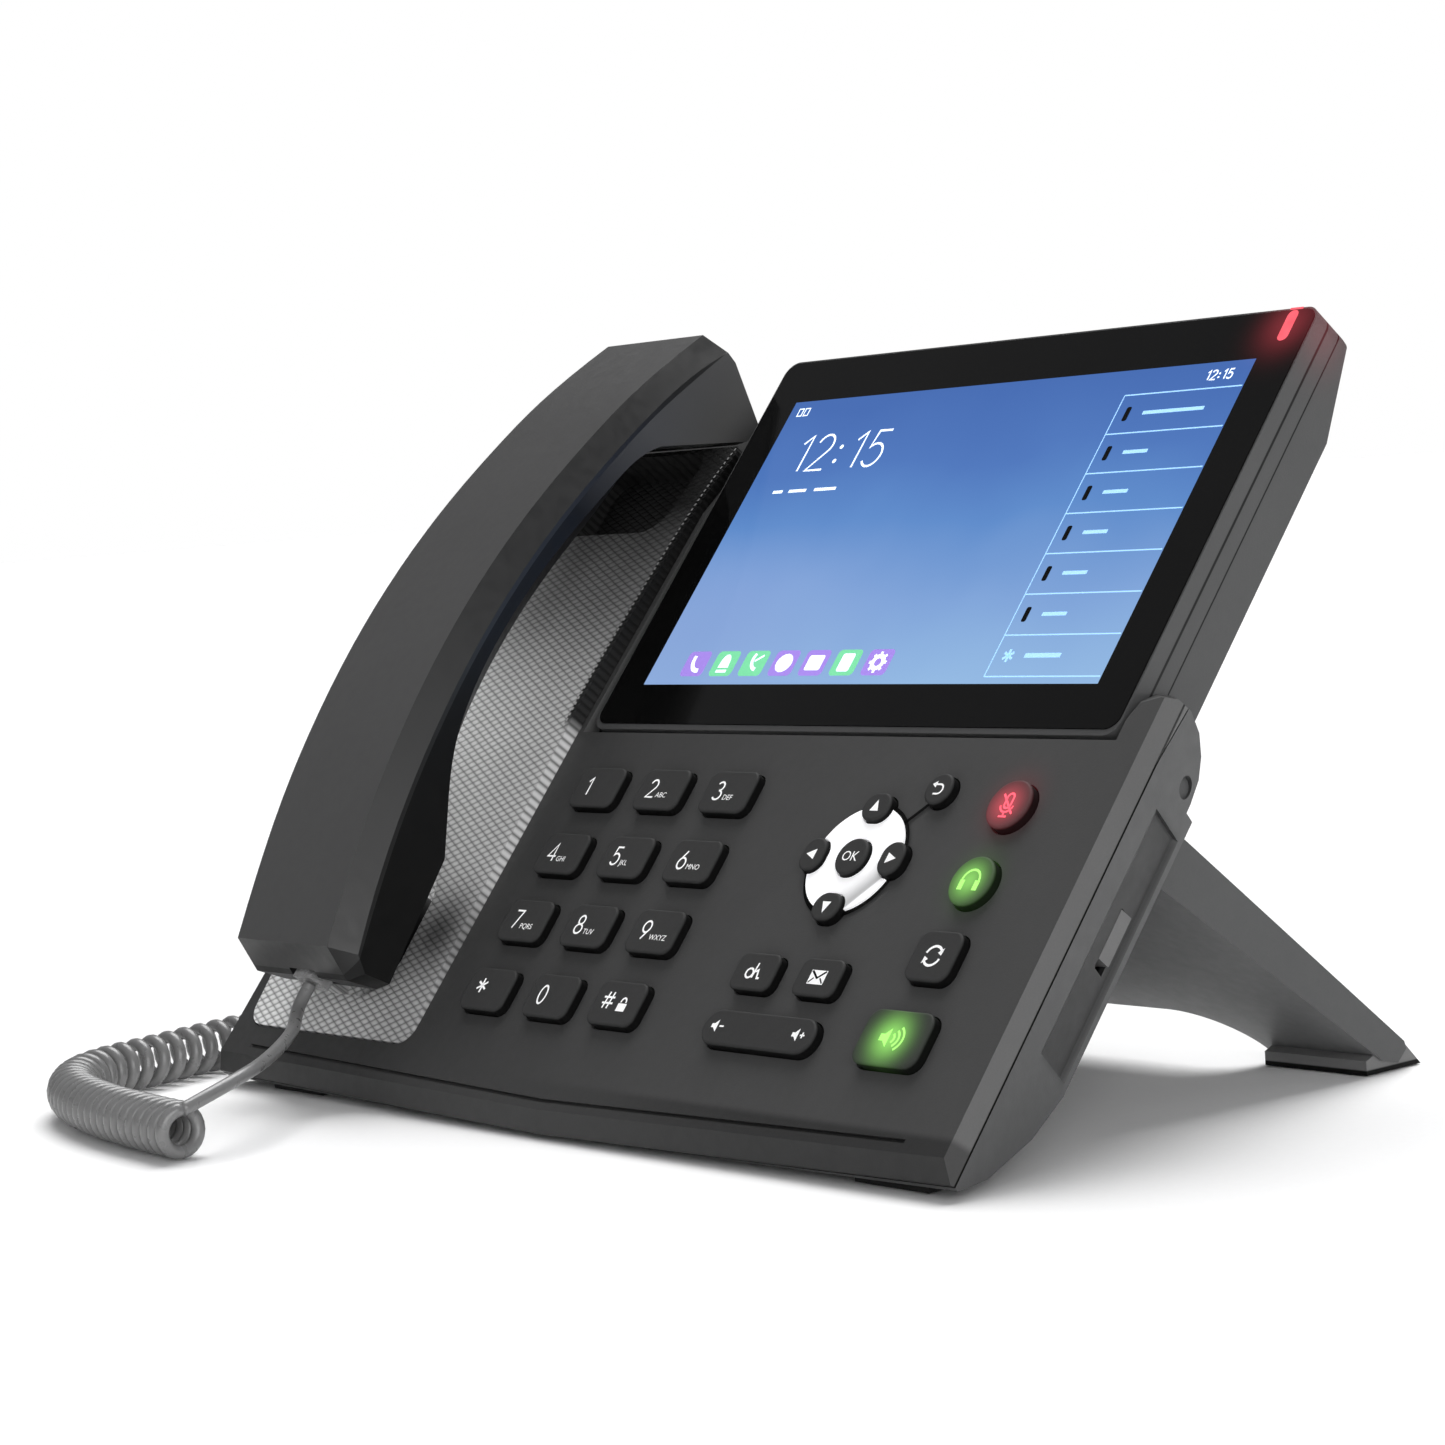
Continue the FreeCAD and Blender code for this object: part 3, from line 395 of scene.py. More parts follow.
def knit_pattern_and_shade(shade, u, v, pillow):
    """How pale the knit is: its diamonds, with painted shade that dims it towards the panel, the earpiece and
    the mouthpiece, painted black past the rim, and a painted highlight of dashes along the rim.
    """
    # Painted shade: darker to the right, up the cradle, under the earpiece and in a painted shadow beside the
    # mouthpiece.
    side = shade.span(u, -150.0, -98.0, 1.0, 0.5)
    rise = shade.span(v, -60.0, -8.0, 1.0, 0.3)
    upper = shade.span(v, -8.0, 12.0, 1.0, 0.12)
    beside_mouth = shade.glow(panel(-102, -116, 0), 12.0)
    upper = shade.math("MULTIPLY", upper, shade.span(beside_mouth, 0.0, 1.0, 1.0, 0.15))
    # Beside the screen the knit is painted black past the rim as shade, with a dashed painted highlight along
    # the rim.
    beside_screen = shade.fade(v, -60.0, -54.0)
    past_rim = shade.math("MULTIPLY", shade.fade(u, -95.6, -95.0), beside_screen)
    rim = shade.span(past_rim, 0.0, 1.0, 1.0, 0.04)
    highlight_dashes = shade.math("GREATER_THAN", shade.math("SINE", shade.math("MULTIPLY", v, math.pi / 0.8)), 0.0)
    near_rim = shade.math("LESS_THAN", shade.math("ABSOLUTE", shade.math("SUBTRACT", u, -94.9)), 0.3)
    rim_highlight = shade.math("MULTIPLY", shade.math("MULTIPLY", highlight_dashes, near_rim), beside_screen)
    level = shade.math("MULTIPLY", shade.span(pillow, 0.1, 0.9, 0.3, 1.0), shade.math("MULTIPLY", side, rise))
    level = shade.math("MULTIPLY", shade.math("MULTIPLY", level, upper), rim)
    return shade.math("ADD", level, shade.math("MULTIPLY", rim_highlight, 0.3))


def knit_material():
    """Silver knit with a painted glow along the middle of the cradle."""
    shade = Shade("silver_knit")
    u = shade.along(RIGHT)
    v = shade.along(UP)
    pillow = knit_pillow(shade, u, v)
    level = knit_pattern_and_shade(shade, u, v, pillow)
    shade.put("Base Color", shade.scaled((0.95, 0.95, 0.95), level))
    # Painted glow: emission on the knit, which is no lamp.
    painted_glow = shade.math("MULTIPLY", shade.fade(v, -122.0, -100.0), shade.fade(v, -18.0, -50.0))
    shade.put("Emission Color", shade.scaled((0.32, 0.32, 0.32), shade.math("MULTIPLY", level, painted_glow)))
    shade.put("Emission Strength", 1.0)
    shade.put("Roughness", shade.span(pillow, 0.0, 1.0, 0.62, 0.42))
    shade.put("Specular IOR Level", 0.3)
    shade.bump(pillow, 0.2)
    return shade.material


def key_material(node=None):
    """Black key: a paler top over sides in painted shade, with its own light where the key has a lamp."""
    # The tone paints shade: dark key sides and a lighter top.
    shade = plastic("key_" + (node or "plain"), grey(0.034), 0.6, grain=0.5, depth=0.015, level=0.1,
                    tone=lambda s: s.span(s.along(OUT), 1.5, 2.15, 0.1, 1.2))
    if node:
        colour, radius = LIT_KEYS[node]
        top = shade.span(shade.along(OUT), 1.3, 2.15, 0.12, 1.0)
        shade.lights([(key_glow(node) - 0.5 * MM * RIGHT, radius, dimmed(colour, GLOW[node]))], top)
    return shade.material


def print_material(name, colour, strength):
    """Printed or lit mark, with the slight unevenness of ink."""
    shade = Shade(name)
    colour_and_glow = shade.mix(shade.noise(0.6, 3.0), dimmed(colour, 0.9) + (1.0,), colour)
    shade.put("Base Color", colour_and_glow)
    shade.put("Roughness", shade.span(shade.noise(1.5), 0.3, 0.7, 0.55, 0.65))
    shade.put("Specular IOR Level", 0.05)
    shade.put("Emission Color", colour_and_glow)
    shade.put("Emission Strength", strength)
    return shade.material


def metal_material(name, colour, rough):
    shade = Shade(name)
    grain = shade.noise(0.7, 3.0)
    shade.put("Base Color", shade.mix(grain, dimmed(colour, 0.85) + (1.0,), colour))
    shade.put("Metallic", 1.0)
    shade.put("Roughness", shade.span(grain, 0.3, 0.7, rough - 0.05, rough + 0.05))
    shade.bump(grain, 0.01)
    return shade.material


def disc_material():
    """White pearl plate under the arrow keys, with painted shade at its lower right, a painted highlight on
    its lower right edge and a painted glow over it.
    """
    shade = Shade("pearl_plate")
    u, v = spot("key_ok")
    lean = shade.along(Vector((0.75, 0, 0)) - 0.66 * UP, panel(u, v, 0))
    tone = shade.span(lean, 6.0, 10.5, 1.0, 0.45)
    # Painted highlight along the lower right edge.
    tone = shade.math("MAXIMUM", tone, shade.span(lean, 10.5, 12.0, 0.0, 1.0))
    tone = shade.math("MULTIPLY", tone, shade.span(shade.noise(2.0), 0, 1, 0.97, 1.0))
    colour_and_glow = shade.scaled((0.93, 0.93, 0.94), tone)
    shade.put("Base Color", colour_and_glow)
    shade.put("Roughness", shade.span(shade.noise(1.2), 0.3, 0.7, 0.3, 0.4))
    # Painted glow: emission on a plate that is no lamp.
    shade.put("Emission Color", colour_and_glow)
    shade.put("Emission Strength", 0.35)
    return shade.material


def clear_material():
    shade = Shade("clear_moulding")
    swirl = shade.noise(2.5, 3.0)
    shade.put("Base Color", shade.mix(swirl, grey(0.6), grey(0.75)))
    shade.put("Roughness", shade.span(swirl, 0.3, 0.7, 0.1, 0.2))
    shade.put("Transmission Weight", 0.7)
    shade.put("IOR", 1.5)
    return shade.material


def lamp_material():
    shade = Shade("red_lamp")
    core = shade.noise(3.0, 2.0)
    shade.put("Base Color", shade.mix(core, linear(170, 30, 40), linear(200, 50, 60)))
    shade.put("Roughness", 0.3)
    shade.put("Emission Color", shade.mix(core, linear(226, 84, 98), linear(240, 110, 122)))
    shade.put("Emission Strength", 0.9)
    return shade.material


def lcd_material():
    shade = Shade("lcd_light")
    shade.put("Base Color", shade.mix(shade.noise(8.0), grey(0.02), grey(0.04)))
    shade.put("Emission Color", screen_colour(shade))
    shade.put("Emission Strength", 0.6)
    return shade.material


MATERIALS = {
    "deck_grey": deck_material(),
    "shell_grey": shell_material(),
    "handset_grey": plastic("handset_plastic", grey(0.062), 0.36, grain=0.3, depth=0.012, level=0.42,
                            tone=handset_painted_shade).material,
    "handset_dark": plastic("handset_inner", grey(0.07), 0.42, grain=0.3, depth=0.012, level=0.25,
                            tone=inner_painted_shade).material,
    "key_black": key_material(),
    "silver_knit": knit_material(),
    "bright_trim": disc_material(),
    "cover_glass": glass_material(),
    "lit_screen": lcd_material(),
    "signal_red": lamp_material(),
    "socket_black": plastic("socket_black", grey(0.012), 0.4).material,
    "port_grey": plastic("port_grey", grey(0.14), 0.45).material,
    "stand_body": plastic("stand_plastic", grey(0.078, 0.99), 0.48, level=0.35, tone=stand_painted_light).material,
    # The pads' grey is paler than the stand's plastic: painted light against the shade under the stand.
    "stand_pads": plastic("pad_rubber", grey(0.17), 0.6, tone=pad_tone, level=0.2).material,
    "driver_black": plastic("driver_black", grey(0.01), 0.6).material,
    "board_green": plastic("board_green", (0.02, 0.12, 0.05, 1.0), 0.35, grain=1.5, depth=0.05).material,
    "screw_steel": metal_material("screw_steel", (0.5, 0.5, 0.52, 1.0), 0.3),
    "foot_rubber": plastic("foot_rubber", grey(0.015), 0.75, grain=0.7, depth=0.05, level=0.2).material,
    "cord_grey": plastic("cord_jacket", grey(0.17), 0.3, grain=1.2, depth=0.015, level=0.6).material,
    "clear_plug": clear_material(),
}


def dress_nodes():
    """Give every CAD node the material of its slot, and each lit key its own."""
    for part in frame["record"]["subparts"]:
        node, slot = part["node"], part["material_slot"]
        lit = node in LIT_KEYS
        material = key_material(node) if lit else MATERIALS.get(node, MATERIALS[slot])
        shown = bpy.data.objects[node]
        for held in shown.material_slots:
            held.material = material


# ---------------------------------------------------------------- cord
# Radii, pitches and the coil's start and closing stretch are in mm.

CORD_RADIUS = 1.6
COIL_RADIUS = 6.6
HELIX = COIL_RADIUS - CORD_RADIUS
TURN_STEPS = 22
COIL_START = 1.9
CLOSING_LENGTH = 11.0
TIGHT_PITCH = 3.8
EXTRA_PITCH = 2.2
JACK_POINT = panel(-125.0, -139.5, 12.4)
BASE_POINT = panel(-146.05, -92.5, -27.4)
LEAD_ROUTE = [JACK_POINT, at(-125.0, -102.44, 24.16), at(-121.5, -106.2, 21.3), at(-113.0, -112.5, 19.3),
              at(-99.7, -128.0, 16.6), at(-86.1, -144.0, 16.1), at(-86.6, -159.3, 11.3)]
COIL_ROUTE = [at(-84.7, -159.3, 6.6), at(-110.0, -158.0, 6.6), at(-138.0, -154.0, 6.6),
              at(-163.0, -146.0, 6.6), at(-179.0, -131.0, 6.6), at(-184.6, -107.0, 6.6),
              at(-191.0, -84.0, 6.6), at(-196.0, -60.0, 6.6)]
TAIL_ROUTE = [at(-196.0, -60.0, 6.6), at(-200.0, -37.0, 2.2), at(-194.0, -14.0, 2.0),
              at(-171.0, -2.0, 6.0), at(-149.0, -15.0, 17.0), BASE_POINT]


def read_spline(name, route):
    """Points of the NURBS spline that has the route as its control points."""
    data = bpy.data.curves.new(name, "CURVE")
    data.dimensions = "3D"
    data.resolution_u = 24
    spline = data.splines.new("NURBS")
    spline.points.add(len(route) - 1)
    for point, place in zip(spline.points, route):
        point.co = (*place, 1.0)
    spline.order_u = 3
    spline.use_endpoint_u = True
    guide = bpy.data.objects.new(name, data)
    STAGE.objects.link(guide)
    bpy.context.view_layer.update()
    shape = guide.evaluated_get(bpy.context.evaluated_depsgraph_get())
    mesh = bpy.data.meshes.new_from_object(shape)
    points = [vertex.co.copy() for vertex in mesh.vertices]
    bpy.data.meshes.remove(mesh)
    bpy.data.objects.remove(guide)
    bpy.data.curves.remove(data)
    return points


def distances(points):
    """How far along the line each point is."""
    reach = [0.0]
    for before, after in zip(points, points[1:]):
        reach.append(reach[-1] + (after - before).length)
    return reach


def wind(axis, start):
    """The curly cord's line round an axis: tight turns first, opened ones later, then in to the axis."""
    reach = distances(axis)
    total = reach[-1]
    line = []
    turn = 0.0
    travelled = start
    step = 1 / TURN_STEPS
    piece = 0
    while travelled < total:
        while reach[piece + 1] < travelled:
            piece += 1
        share = (travelled - reach[piece]) / (reach[piece + 1] - reach[piece])
        middle = axis[piece].lerp(axis[piece + 1], share)
        ahead = (axis[piece + 1] - axis[piece]).normalized()
        side = ahead.cross(Vector((0, 0, 1))).normalized()
        rise = side.cross(ahead)
        angle = -2 * math.pi * turn
        left = (total - travelled) / MM
        radius = HELIX * MM * smooth(left / CLOSING_LENGTH)
        line.append(middle + radius * (math.cos(angle) * rise + math.sin(angle) * side))
        pitch = (TIGHT_PITCH + EXTRA_PITCH * smooth(travelled / total * 1.3 - 0.2)) * MM
        turn += step
        travelled += pitch * step
    return line


def tube(name, line, radius, sides=14):
    """A round tube along a line, closed at both ends."""
    mesh = bmesh.new()
    rings = []
    side = None
    for index, place in enumerate(line):
        ahead = (line[min(index + 1, len(line) - 1)] - line[max(index - 1, 0)]).normalized()
        if side is None:
            side = ahead.orthogonal()
        side = (side - ahead * side.dot(ahead)).normalized()
        other = ahead.cross(side)
        angles = [2 * math.pi * k / sides for k in range(sides)]
        rings.append([mesh.verts.new(place + radius * (math.cos(a) * side + math.sin(a) * other))
                      for a in angles])
    for first, second in zip(rings, rings[1:]):
        for k in range(sides):
            j = (k + 1) % sides
            mesh.faces.new((first[k], first[j], second[j], second[k]))
    mesh.faces.new(list(reversed(rings[0])))
    mesh.faces.new(rings[-1])
    return finished(name, mesh, smooth_faces=True)


def finished(name, mesh, smooth_faces=False):
    """Turn a bmesh into a linked object."""
    data = bpy.data.meshes.new(name)
    for face in mesh.faces:
        face.smooth = smooth_faces
    mesh.to_mesh(data)
    mesh.free()
    made = bpy.data.objects.new(name, data)
    STAGE.objects.link(made)
    return made


def painted(piece, material):
    """Give a piece its material."""
    piece.data.materials.append(material)
    return piece


def make_cords():
    """The wound cord with its tail, on the base, and the straight lead between the base and the handset."""
    coil_axis = read_spline("coil_axis", COIL_ROUTE)
    tail = read_spline("tail_axis", TAIL_ROUTE)
    curly_line = list(reversed(wind(coil_axis, COIL_START * MM) + tail))
    curly = painted(tube("curly_cord", curly_line, CORD_RADIUS * MM), MATERIALS["cord_grey"])
    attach(curly, "base")
    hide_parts("cord_coil", "cord_tail")
    lead_line = read_spline("lead_axis", LEAD_ROUTE)
    lead = painted(tube("handset_lead", lead_line, CORD_RADIUS * MM), MATERIALS["cord_grey"])
    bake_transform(lead)
    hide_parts("cord_lead")


# ---------------------------------------------------------------- marks on the keys and the screen

def arc(cu, cv, ru, rv, start, stop, steps=16):
    """Points of an elliptic arc, with its angles in degrees."""
    turn = [math.radians(start + (stop - start) * k / steps) for k in range(steps + 1)]
    return [(cu + ru * math.cos(a), cv + rv * math.sin(a)) for a in turn]


# Strokes of each figure on a box of height 1, how far the next one starts, and a capital's share of its type.
DIGITS = {
    "0": [arc(0.33, 0.5, 0.27, 0.5, 0, 360, 28)],
    "1": [[(0.16, 0.78), (0.4, 1.0), (0.4, 0.0)]],
    "2": [arc(0.33, 0.72, 0.26, 0.28, 165, -35) + [(0.05, 0.0), (0.63, 0.0)]],
    "3": [arc(0.3, 0.76, 0.24, 0.24, 150, -90) + arc(0.3, 0.26, 0.29, 0.26, 90, -150)],
    "4": [[(0.48, 0.0), (0.48, 1.0), (0.02, 0.28), (0.66, 0.28)]],
    "5": [[(0.58, 1.0), (0.16, 1.0), (0.1, 0.54)] + arc(0.3, 0.32, 0.29, 0.32, 125, -150)],
    "6": [[(0.46, 1.0), (0.08, 0.42)], arc(0.33, 0.31, 0.28, 0.31, 0, 360, 24)],
    "7": [[(0.04, 1.0), (0.62, 1.0), (0.22, 0.0)]],
    "8": [arc(0.33, 0.76, 0.22, 0.24, 0, 360, 22), arc(0.33, 0.26, 0.28, 0.26, 0, 360, 24)],
    "9": [arc(0.33, 0.69, 0.28, 0.31, 0, 360, 24), [(0.58, 0.58), (0.2, 0.0)]],
    ":": [arc(0.12, 0.22, 0.03, 0.03, 0, 360, 8), arc(0.12, 0.62, 0.03, 0.03, 0, 360, 8)],
}
ADVANCE = {":": 0.42, "1": 0.62}
CAPITAL_SHARE = 0.72


class Sketch:
    """Flat marks on one plane of the panel, in mm, joined into one mesh."""

    def __init__(self, name, w):
        self.name = name
        self.w = w
        self.mesh = bmesh.new()

    def area(self, outline):
        """A filled outline."""
        self.mesh.faces.new([self.mesh.verts.new(panel(u, v, self.w)) for u, v in outline])

    def stroke(self, line, width):
        """A ribbon along a line, mitred at its bends."""
        points = [Vector(p) for p in line]
        loop = (points[0] - points[-1]).length < 1e-4
        if loop:
            points.pop()
        count = len(points)
        rims = []
        for index, point in enumerate(points):
            before = points[index - 1] if index or loop else point
            after = points[(index + 1) % count] if index + 1 < count or loop else point
            into = (point - before).normalized() if before != point else (after - point).normalized()
            away = (after - point).normalized() if after != point else into
            mean = (into + away).normalized() if (into + away).length > 1e-3 else away
            cross = Vector((-mean.y, mean.x))
            stretch = 1 / max(abs(cross.dot(Vector((-away.y, away.x)))), 0.6)
            reach = cross * (width / 2 * stretch)
            rims.append([self.mesh.verts.new(panel(*(point + reach), self.w)),
                         self.mesh.verts.new(panel(*(point - reach), self.w))])
        pairs = list(zip(rims, rims[1:] + rims[:1])) if loop else list(zip(rims, rims[1:]))
        for first, second in pairs:
            self.mesh.faces.new((first[0], first[1], second[1], second[0]))

    def figures(self, text, u, v, height, width):
        """Draw figures with their lower left corner at u, v."""
        for letter in text:
            for line in DIGITS[letter]:
                self.stroke([(u + x * height, v + y * height) for x, y in line], width)
            u += ADVANCE.get(letter, 0.82) * height

    def letters(self, text, u, v, height):
        """Small capitals from the built-in typeface."""
        data = bpy.data.curves.new("letters", "FONT")
        data.body = text
        data.size = height / CAPITAL_SHARE
        data.resolution_u = 3
        shown = bpy.data.objects.new("letters", data)
        STAGE.objects.link(shown)
        bpy.context.view_layer.update()
        shape = shown.evaluated_get(bpy.context.evaluated_depsgraph_get())
        flat = bpy.data.meshes.new_from_object(shape)
        corners = [self.mesh.verts.new(panel(u + p.co.x, v + p.co.y, self.w)) for p in flat.vertices]
        for face in flat.polygons:
            self.mesh.faces.new([corners[k] for k in face.vertices])
        bpy.data.meshes.remove(flat)
        bpy.data.objects.remove(shown)
        bpy.data.curves.remove(data)

    def done(self, body, material, slot):
        """Make the object and let it ride a body."""
        made = painted(finished(self.name, self.mesh), material)
        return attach(made, body)


# White print glows faintly: a painted glow, as the marks it makes are print and no lamp.
WHITE_PRINT = print_material("white_print", linear(238, 238, 238), 0.28)
RED_PRINT = print_material("red_print", linear(246, 92, 108), 1.0)
GREEN_PRINT = print_material("green_print", linear(150, 222, 108), 1.0)
DARK_PRINT = print_material("dark_print", grey(0.002), 0.0)
LEGEND_W = KEY_TOP + 0.05


def key_legend(key):
    """A sketch on a key's top, and the middle of that key."""
    u, v = spot(key)
    return Sketch(key + "_legend", LEGEND_W), u, v


def number_legends():
    letters = {"2": "ABC", "3": "DEF", "4": "GHI", "5": "JKL",
               "6": "MNO", "7": "PQRS", "8": "TUV", "9": "WXYZ"}
    for figure in "0123456789":
        key = "key_" + figure
        mark, u, v = key_legend(key)
        mark.figures(figure, u - 4.5, v - 2.2, 4.7, 0.5)
        if figure in letters:
            mark.letters(letters[figure], u - 0.7, v - 2.2, 1.45)
        mark.done(key, WHITE_PRINT, "key_black")


def star_and_hash():
    mark, u, v = key_legend("key_star")
    for angle in (90, 30, 150):
        du, dv = 1.9 * math.cos(math.radians(angle)), 1.9 * math.sin(math.radians(angle))
        mark.stroke([(u - 2.6 - du, v + 0.8 - dv), (u - 2.6 + du, v + 0.8 + dv)], 0.55)
    mark.done("key_star", WHITE_PRINT, "key_black")
    mark, u, v = key_legend("key_hash")
    for shift in (-0.75, 0.75):
        mark.stroke([(u - 3.4 + shift, v - 1.5), (u - 2.8 + shift, v + 2.7)], 0.5)
        mark.stroke([(u - 5.0, v + 0.6 + shift), (u - 1.2, v + 0.6 + shift)], 0.5)
    mark.area([(u + 0.9, v - 1.9), (u + 3.9, v - 1.9), (u + 3.9, v + 0.1), (u + 0.9, v + 0.1)])
    mark.stroke(arc(u + 2.4, v + 0.3, 0.9, 1.2, 0, 180), 0.45)
    mark.done("key_hash", WHITE_PRINT, "key_black")


def arrow_legends():
    for key, turn in (("key_up", 90), ("key_left", 180), ("key_down", 270), ("key_right", 0)):
        mark, u, v = key_legend(key)
        turned = [math.radians(turn + extra) for extra in (0, 130, 230)]
        mark.area([(u + 1.75 * math.cos(a), v + 1.75 * math.sin(a)) for a in turned])
        mark.done(key, WHITE_PRINT, "key_black")
    mark, u, v = key_legend("key_ok")
    mark.letters("OK", u - 2.65, v - 1.2, 2.5)
    mark.done("key_ok", WHITE_PRINT, "key_black")
    mark, u, v = key_legend("key_back")
    mark.stroke([(u - 1.6, v + 1.1)] + arc(u + 0.3, v - 0.1, 1.2, 1.2, 90, -90) + [(u - 0.9, v - 1.3)], 0.45)
    mark.area([(u - 2.2, v + 1.1), (u - 0.9, v + 1.95), (u - 0.9, v + 0.25)])
    mark.done("key_back", WHITE_PRINT, "key_black")


def mute_legend():
    """A microphone, struck through."""
    mark, u, v = key_legend("key_mute")
    capsule = arc(u, v + 1.6, 0.95, 0.95, 0, 180) + arc(u, v - 0.1, 0.95, 0.95, 180, 360)
    mark.stroke(capsule + [(u + 0.95, v + 1.6)], 0.5)
    mark.stroke(arc(u, v - 0.1, 1.9, 1.9, 190, 350), 0.45)
    mark.stroke([(u, v - 2.0), (u, v - 3.0)], 0.45)
    mark.stroke([(u - 1.2, v - 3.1), (u + 1.2, v - 3.1)], 0.45)
    mark.stroke([(u - 2.3, v + 2.4), (u + 2.3, v - 2.4)], 0.5)
    mark.done("key_mute", RED_PRINT, "signal_red")


def headset_legend():
    mark, u, v = key_legend("key_headset")
    mark.stroke(arc(u, v, 2.5, 2.6, -10, 190), 0.55)
    mark.area([(u - 2.9, v - 2.3), (u - 1.5, v - 2.3), (u - 1.5, v + 0.1), (u - 2.9, v + 0.1)])
    mark.area([(u + 1.5, v - 2.3), (u + 2.9, v - 2.3), (u + 2.9, v + 0.1), (u + 1.5, v + 0.1)])
    mark.done("key_headset", GREEN_PRINT, "signal_red")


def speaker_legend():
    mark, u, v = key_legend("key_speaker")
    mark.area([(u - 3.6, v - 0.8), (u - 2.4, v - 0.8), (u - 0.9, v - 2.2), (u - 0.9, v + 2.2),
               (u - 2.4, v + 0.8), (u - 3.6, v + 0.8)])
    for radius in (1.6, 2.9, 4.2):
        mark.stroke(arc(u - 0.9, v, radius, radius * 0.8, -50, 50), 0.55)
    mark.done("key_speaker", GREEN_PRINT, "signal_red")


def redial_legend():
    """Two arrows that chase each other."""
    mark, u, v = key_legend("key_redial")
    for turn in (0, 180):
        mark.stroke(arc(u, v, 2.3, 2.3, turn + 25, turn + 165), 0.6)
        tip = math.radians(turn + 10)
        base_in = (u + 1.3 * math.cos(tip + 0.5), v + 1.3 * math.sin(tip + 0.5))
        base_out = (u + 3.2 * math.cos(tip + 0.5), v + 3.2 * math.sin(tip + 0.5))
        mark.area([(u + 2.3 * math.cos(tip - 0.1), v + 2.3 * math.sin(tip - 0.1)), base_out, base_in])
    mark.done("key_redial", WHITE_PRINT, "key_black")


def contacts_legend():
    mark, u, v = key_legend("key_contacts")
    mark.stroke(arc(u - 1.2, v - 0.5, 1.15, 1.15, 0, 360), 0.5)
    mark.stroke([(u + 0.5, v + 2.1), (u + 0.1, v - 1.6)], 0.5)
    mark.stroke([(u + 0.6, v - 0.1), (u + 1.3, v + 0.4), (u + 1.8, v - 1.6), (u + 2.6, v - 1.6)], 0.5)
    mark.done("key_contacts", WHITE_PRINT, "key_black")


def mail_legend():
    """A white envelope, with the lines of its flap laid over it."""
    mark, u, v = key_legend("key_mail")
    mark.area([(u - 2.5, v - 1.7), (u + 2.5, v - 1.7), (u + 2.5, v + 1.7), (u - 2.5, v + 1.7)])
    mark.done("key_mail", WHITE_PRINT, "key_black")
    flap = Sketch("key_mail_flap", LEGEND_W + 0.03)
    flap.stroke([(u - 2.2, v + 1.5), (u, v - 0.2), (u + 2.2, v + 1.5)], 0.5)
    flap.stroke([(u - 2.2, v - 1.4), (u - 1.0, v - 0.2)], 0.35)
    flap.stroke([(u + 2.2, v - 1.4), (u + 1.0, v - 0.2)], 0.35)
    flap.done("key_mail", DARK_PRINT, "key_black")


def volume_legend():
    """A loudspeaker at each end, with a minus and a plus."""
    mark, u, v = key_legend("key_volume")
    for side in (-1, 1):
        cu = u + side * 13.2
        mark.area([(cu - 2.0, v - 0.5), (cu - 1.2, v - 0.5), (cu - 0.1, v - 1.5), (cu - 0.1, v + 1.5),
                   (cu - 1.2, v + 0.5), (cu - 2.0, v + 0.5)])
        mark.stroke([(cu + 0.6, v), (cu + 2.0, v)], 0.4)
        if side > 0:
            mark.stroke([(cu + 1.3, v - 0.7), (cu + 1.3, v + 0.7)], 0.4)
    mark.done("key_volume", WHITE_PRINT, "key_black")


def disc_outline():
    """The dark line round the arrow disc, and the one that ties it to the back key."""
    u, v = spot("key_ok")
    bu, bv = spot("key_back")
    mark = Sketch("disc_outline", 0.35)
    mark.stroke(arc(u, v, 13.95, 13.95, 0, 360, 72), 1.1)
    toward = Vector((bu - u, bv - v)).normalized()
    mark.stroke([(u + 13.7 * toward.x, v + 13.7 * toward.y), (bu - 3.6 * toward.x, bv - 3.6 * toward.y)], 0.9)
    mark.done("base", DARK_PRINT, "key_black")


SCREEN_W = 0.05
LAMP_GLOW = lamp_material()
PALE_LIGHT = print_material("pale_light", linear(226, 238, 250), 0.9)
SKY_LIGHT = print_material("sky_light", linear(150, 194, 236), 0.85)
VIOLET_LIGHT = print_material("violet_light", linear(136, 112, 190), 0.9)
GREEN_LIGHT = print_material("green_light", linear(104, 184, 138), 0.9)


def rounded(u, v, width, height, radius):
    """The outline of a rectangle with round corners."""
    corners = ((1, 1, 0), (-1, 1, 90), (-1, -1, 180), (1, -1, 270))
    outline = []
    for su, sv, start in corners:
        outline += arc(u + su * (width / 2 - radius), v + sv * (height / 2 - radius), radius, radius,
                       start, start + 90, 5)
    return outline


APP_COLUMNS = [-61.0 + 10.9 * k for k in range(7)]
APP_V = -37.0


def app_tiles():
    """Seven rounded tiles along the bottom of the screen."""
    violet = Sketch("violet_tiles", SCREEN_W)
    green = Sketch("green_tiles", SCREEN_W)
    for index, u in enumerate(APP_COLUMNS):
        tile = green if index in (1, 2, 5) else violet
        tile.area(rounded(u, APP_V, 8.4, 7.2, 1.3))
    violet.done("display", VIOLET_LIGHT, "lit_screen")
    green.done("display", GREEN_LIGHT, "lit_screen")


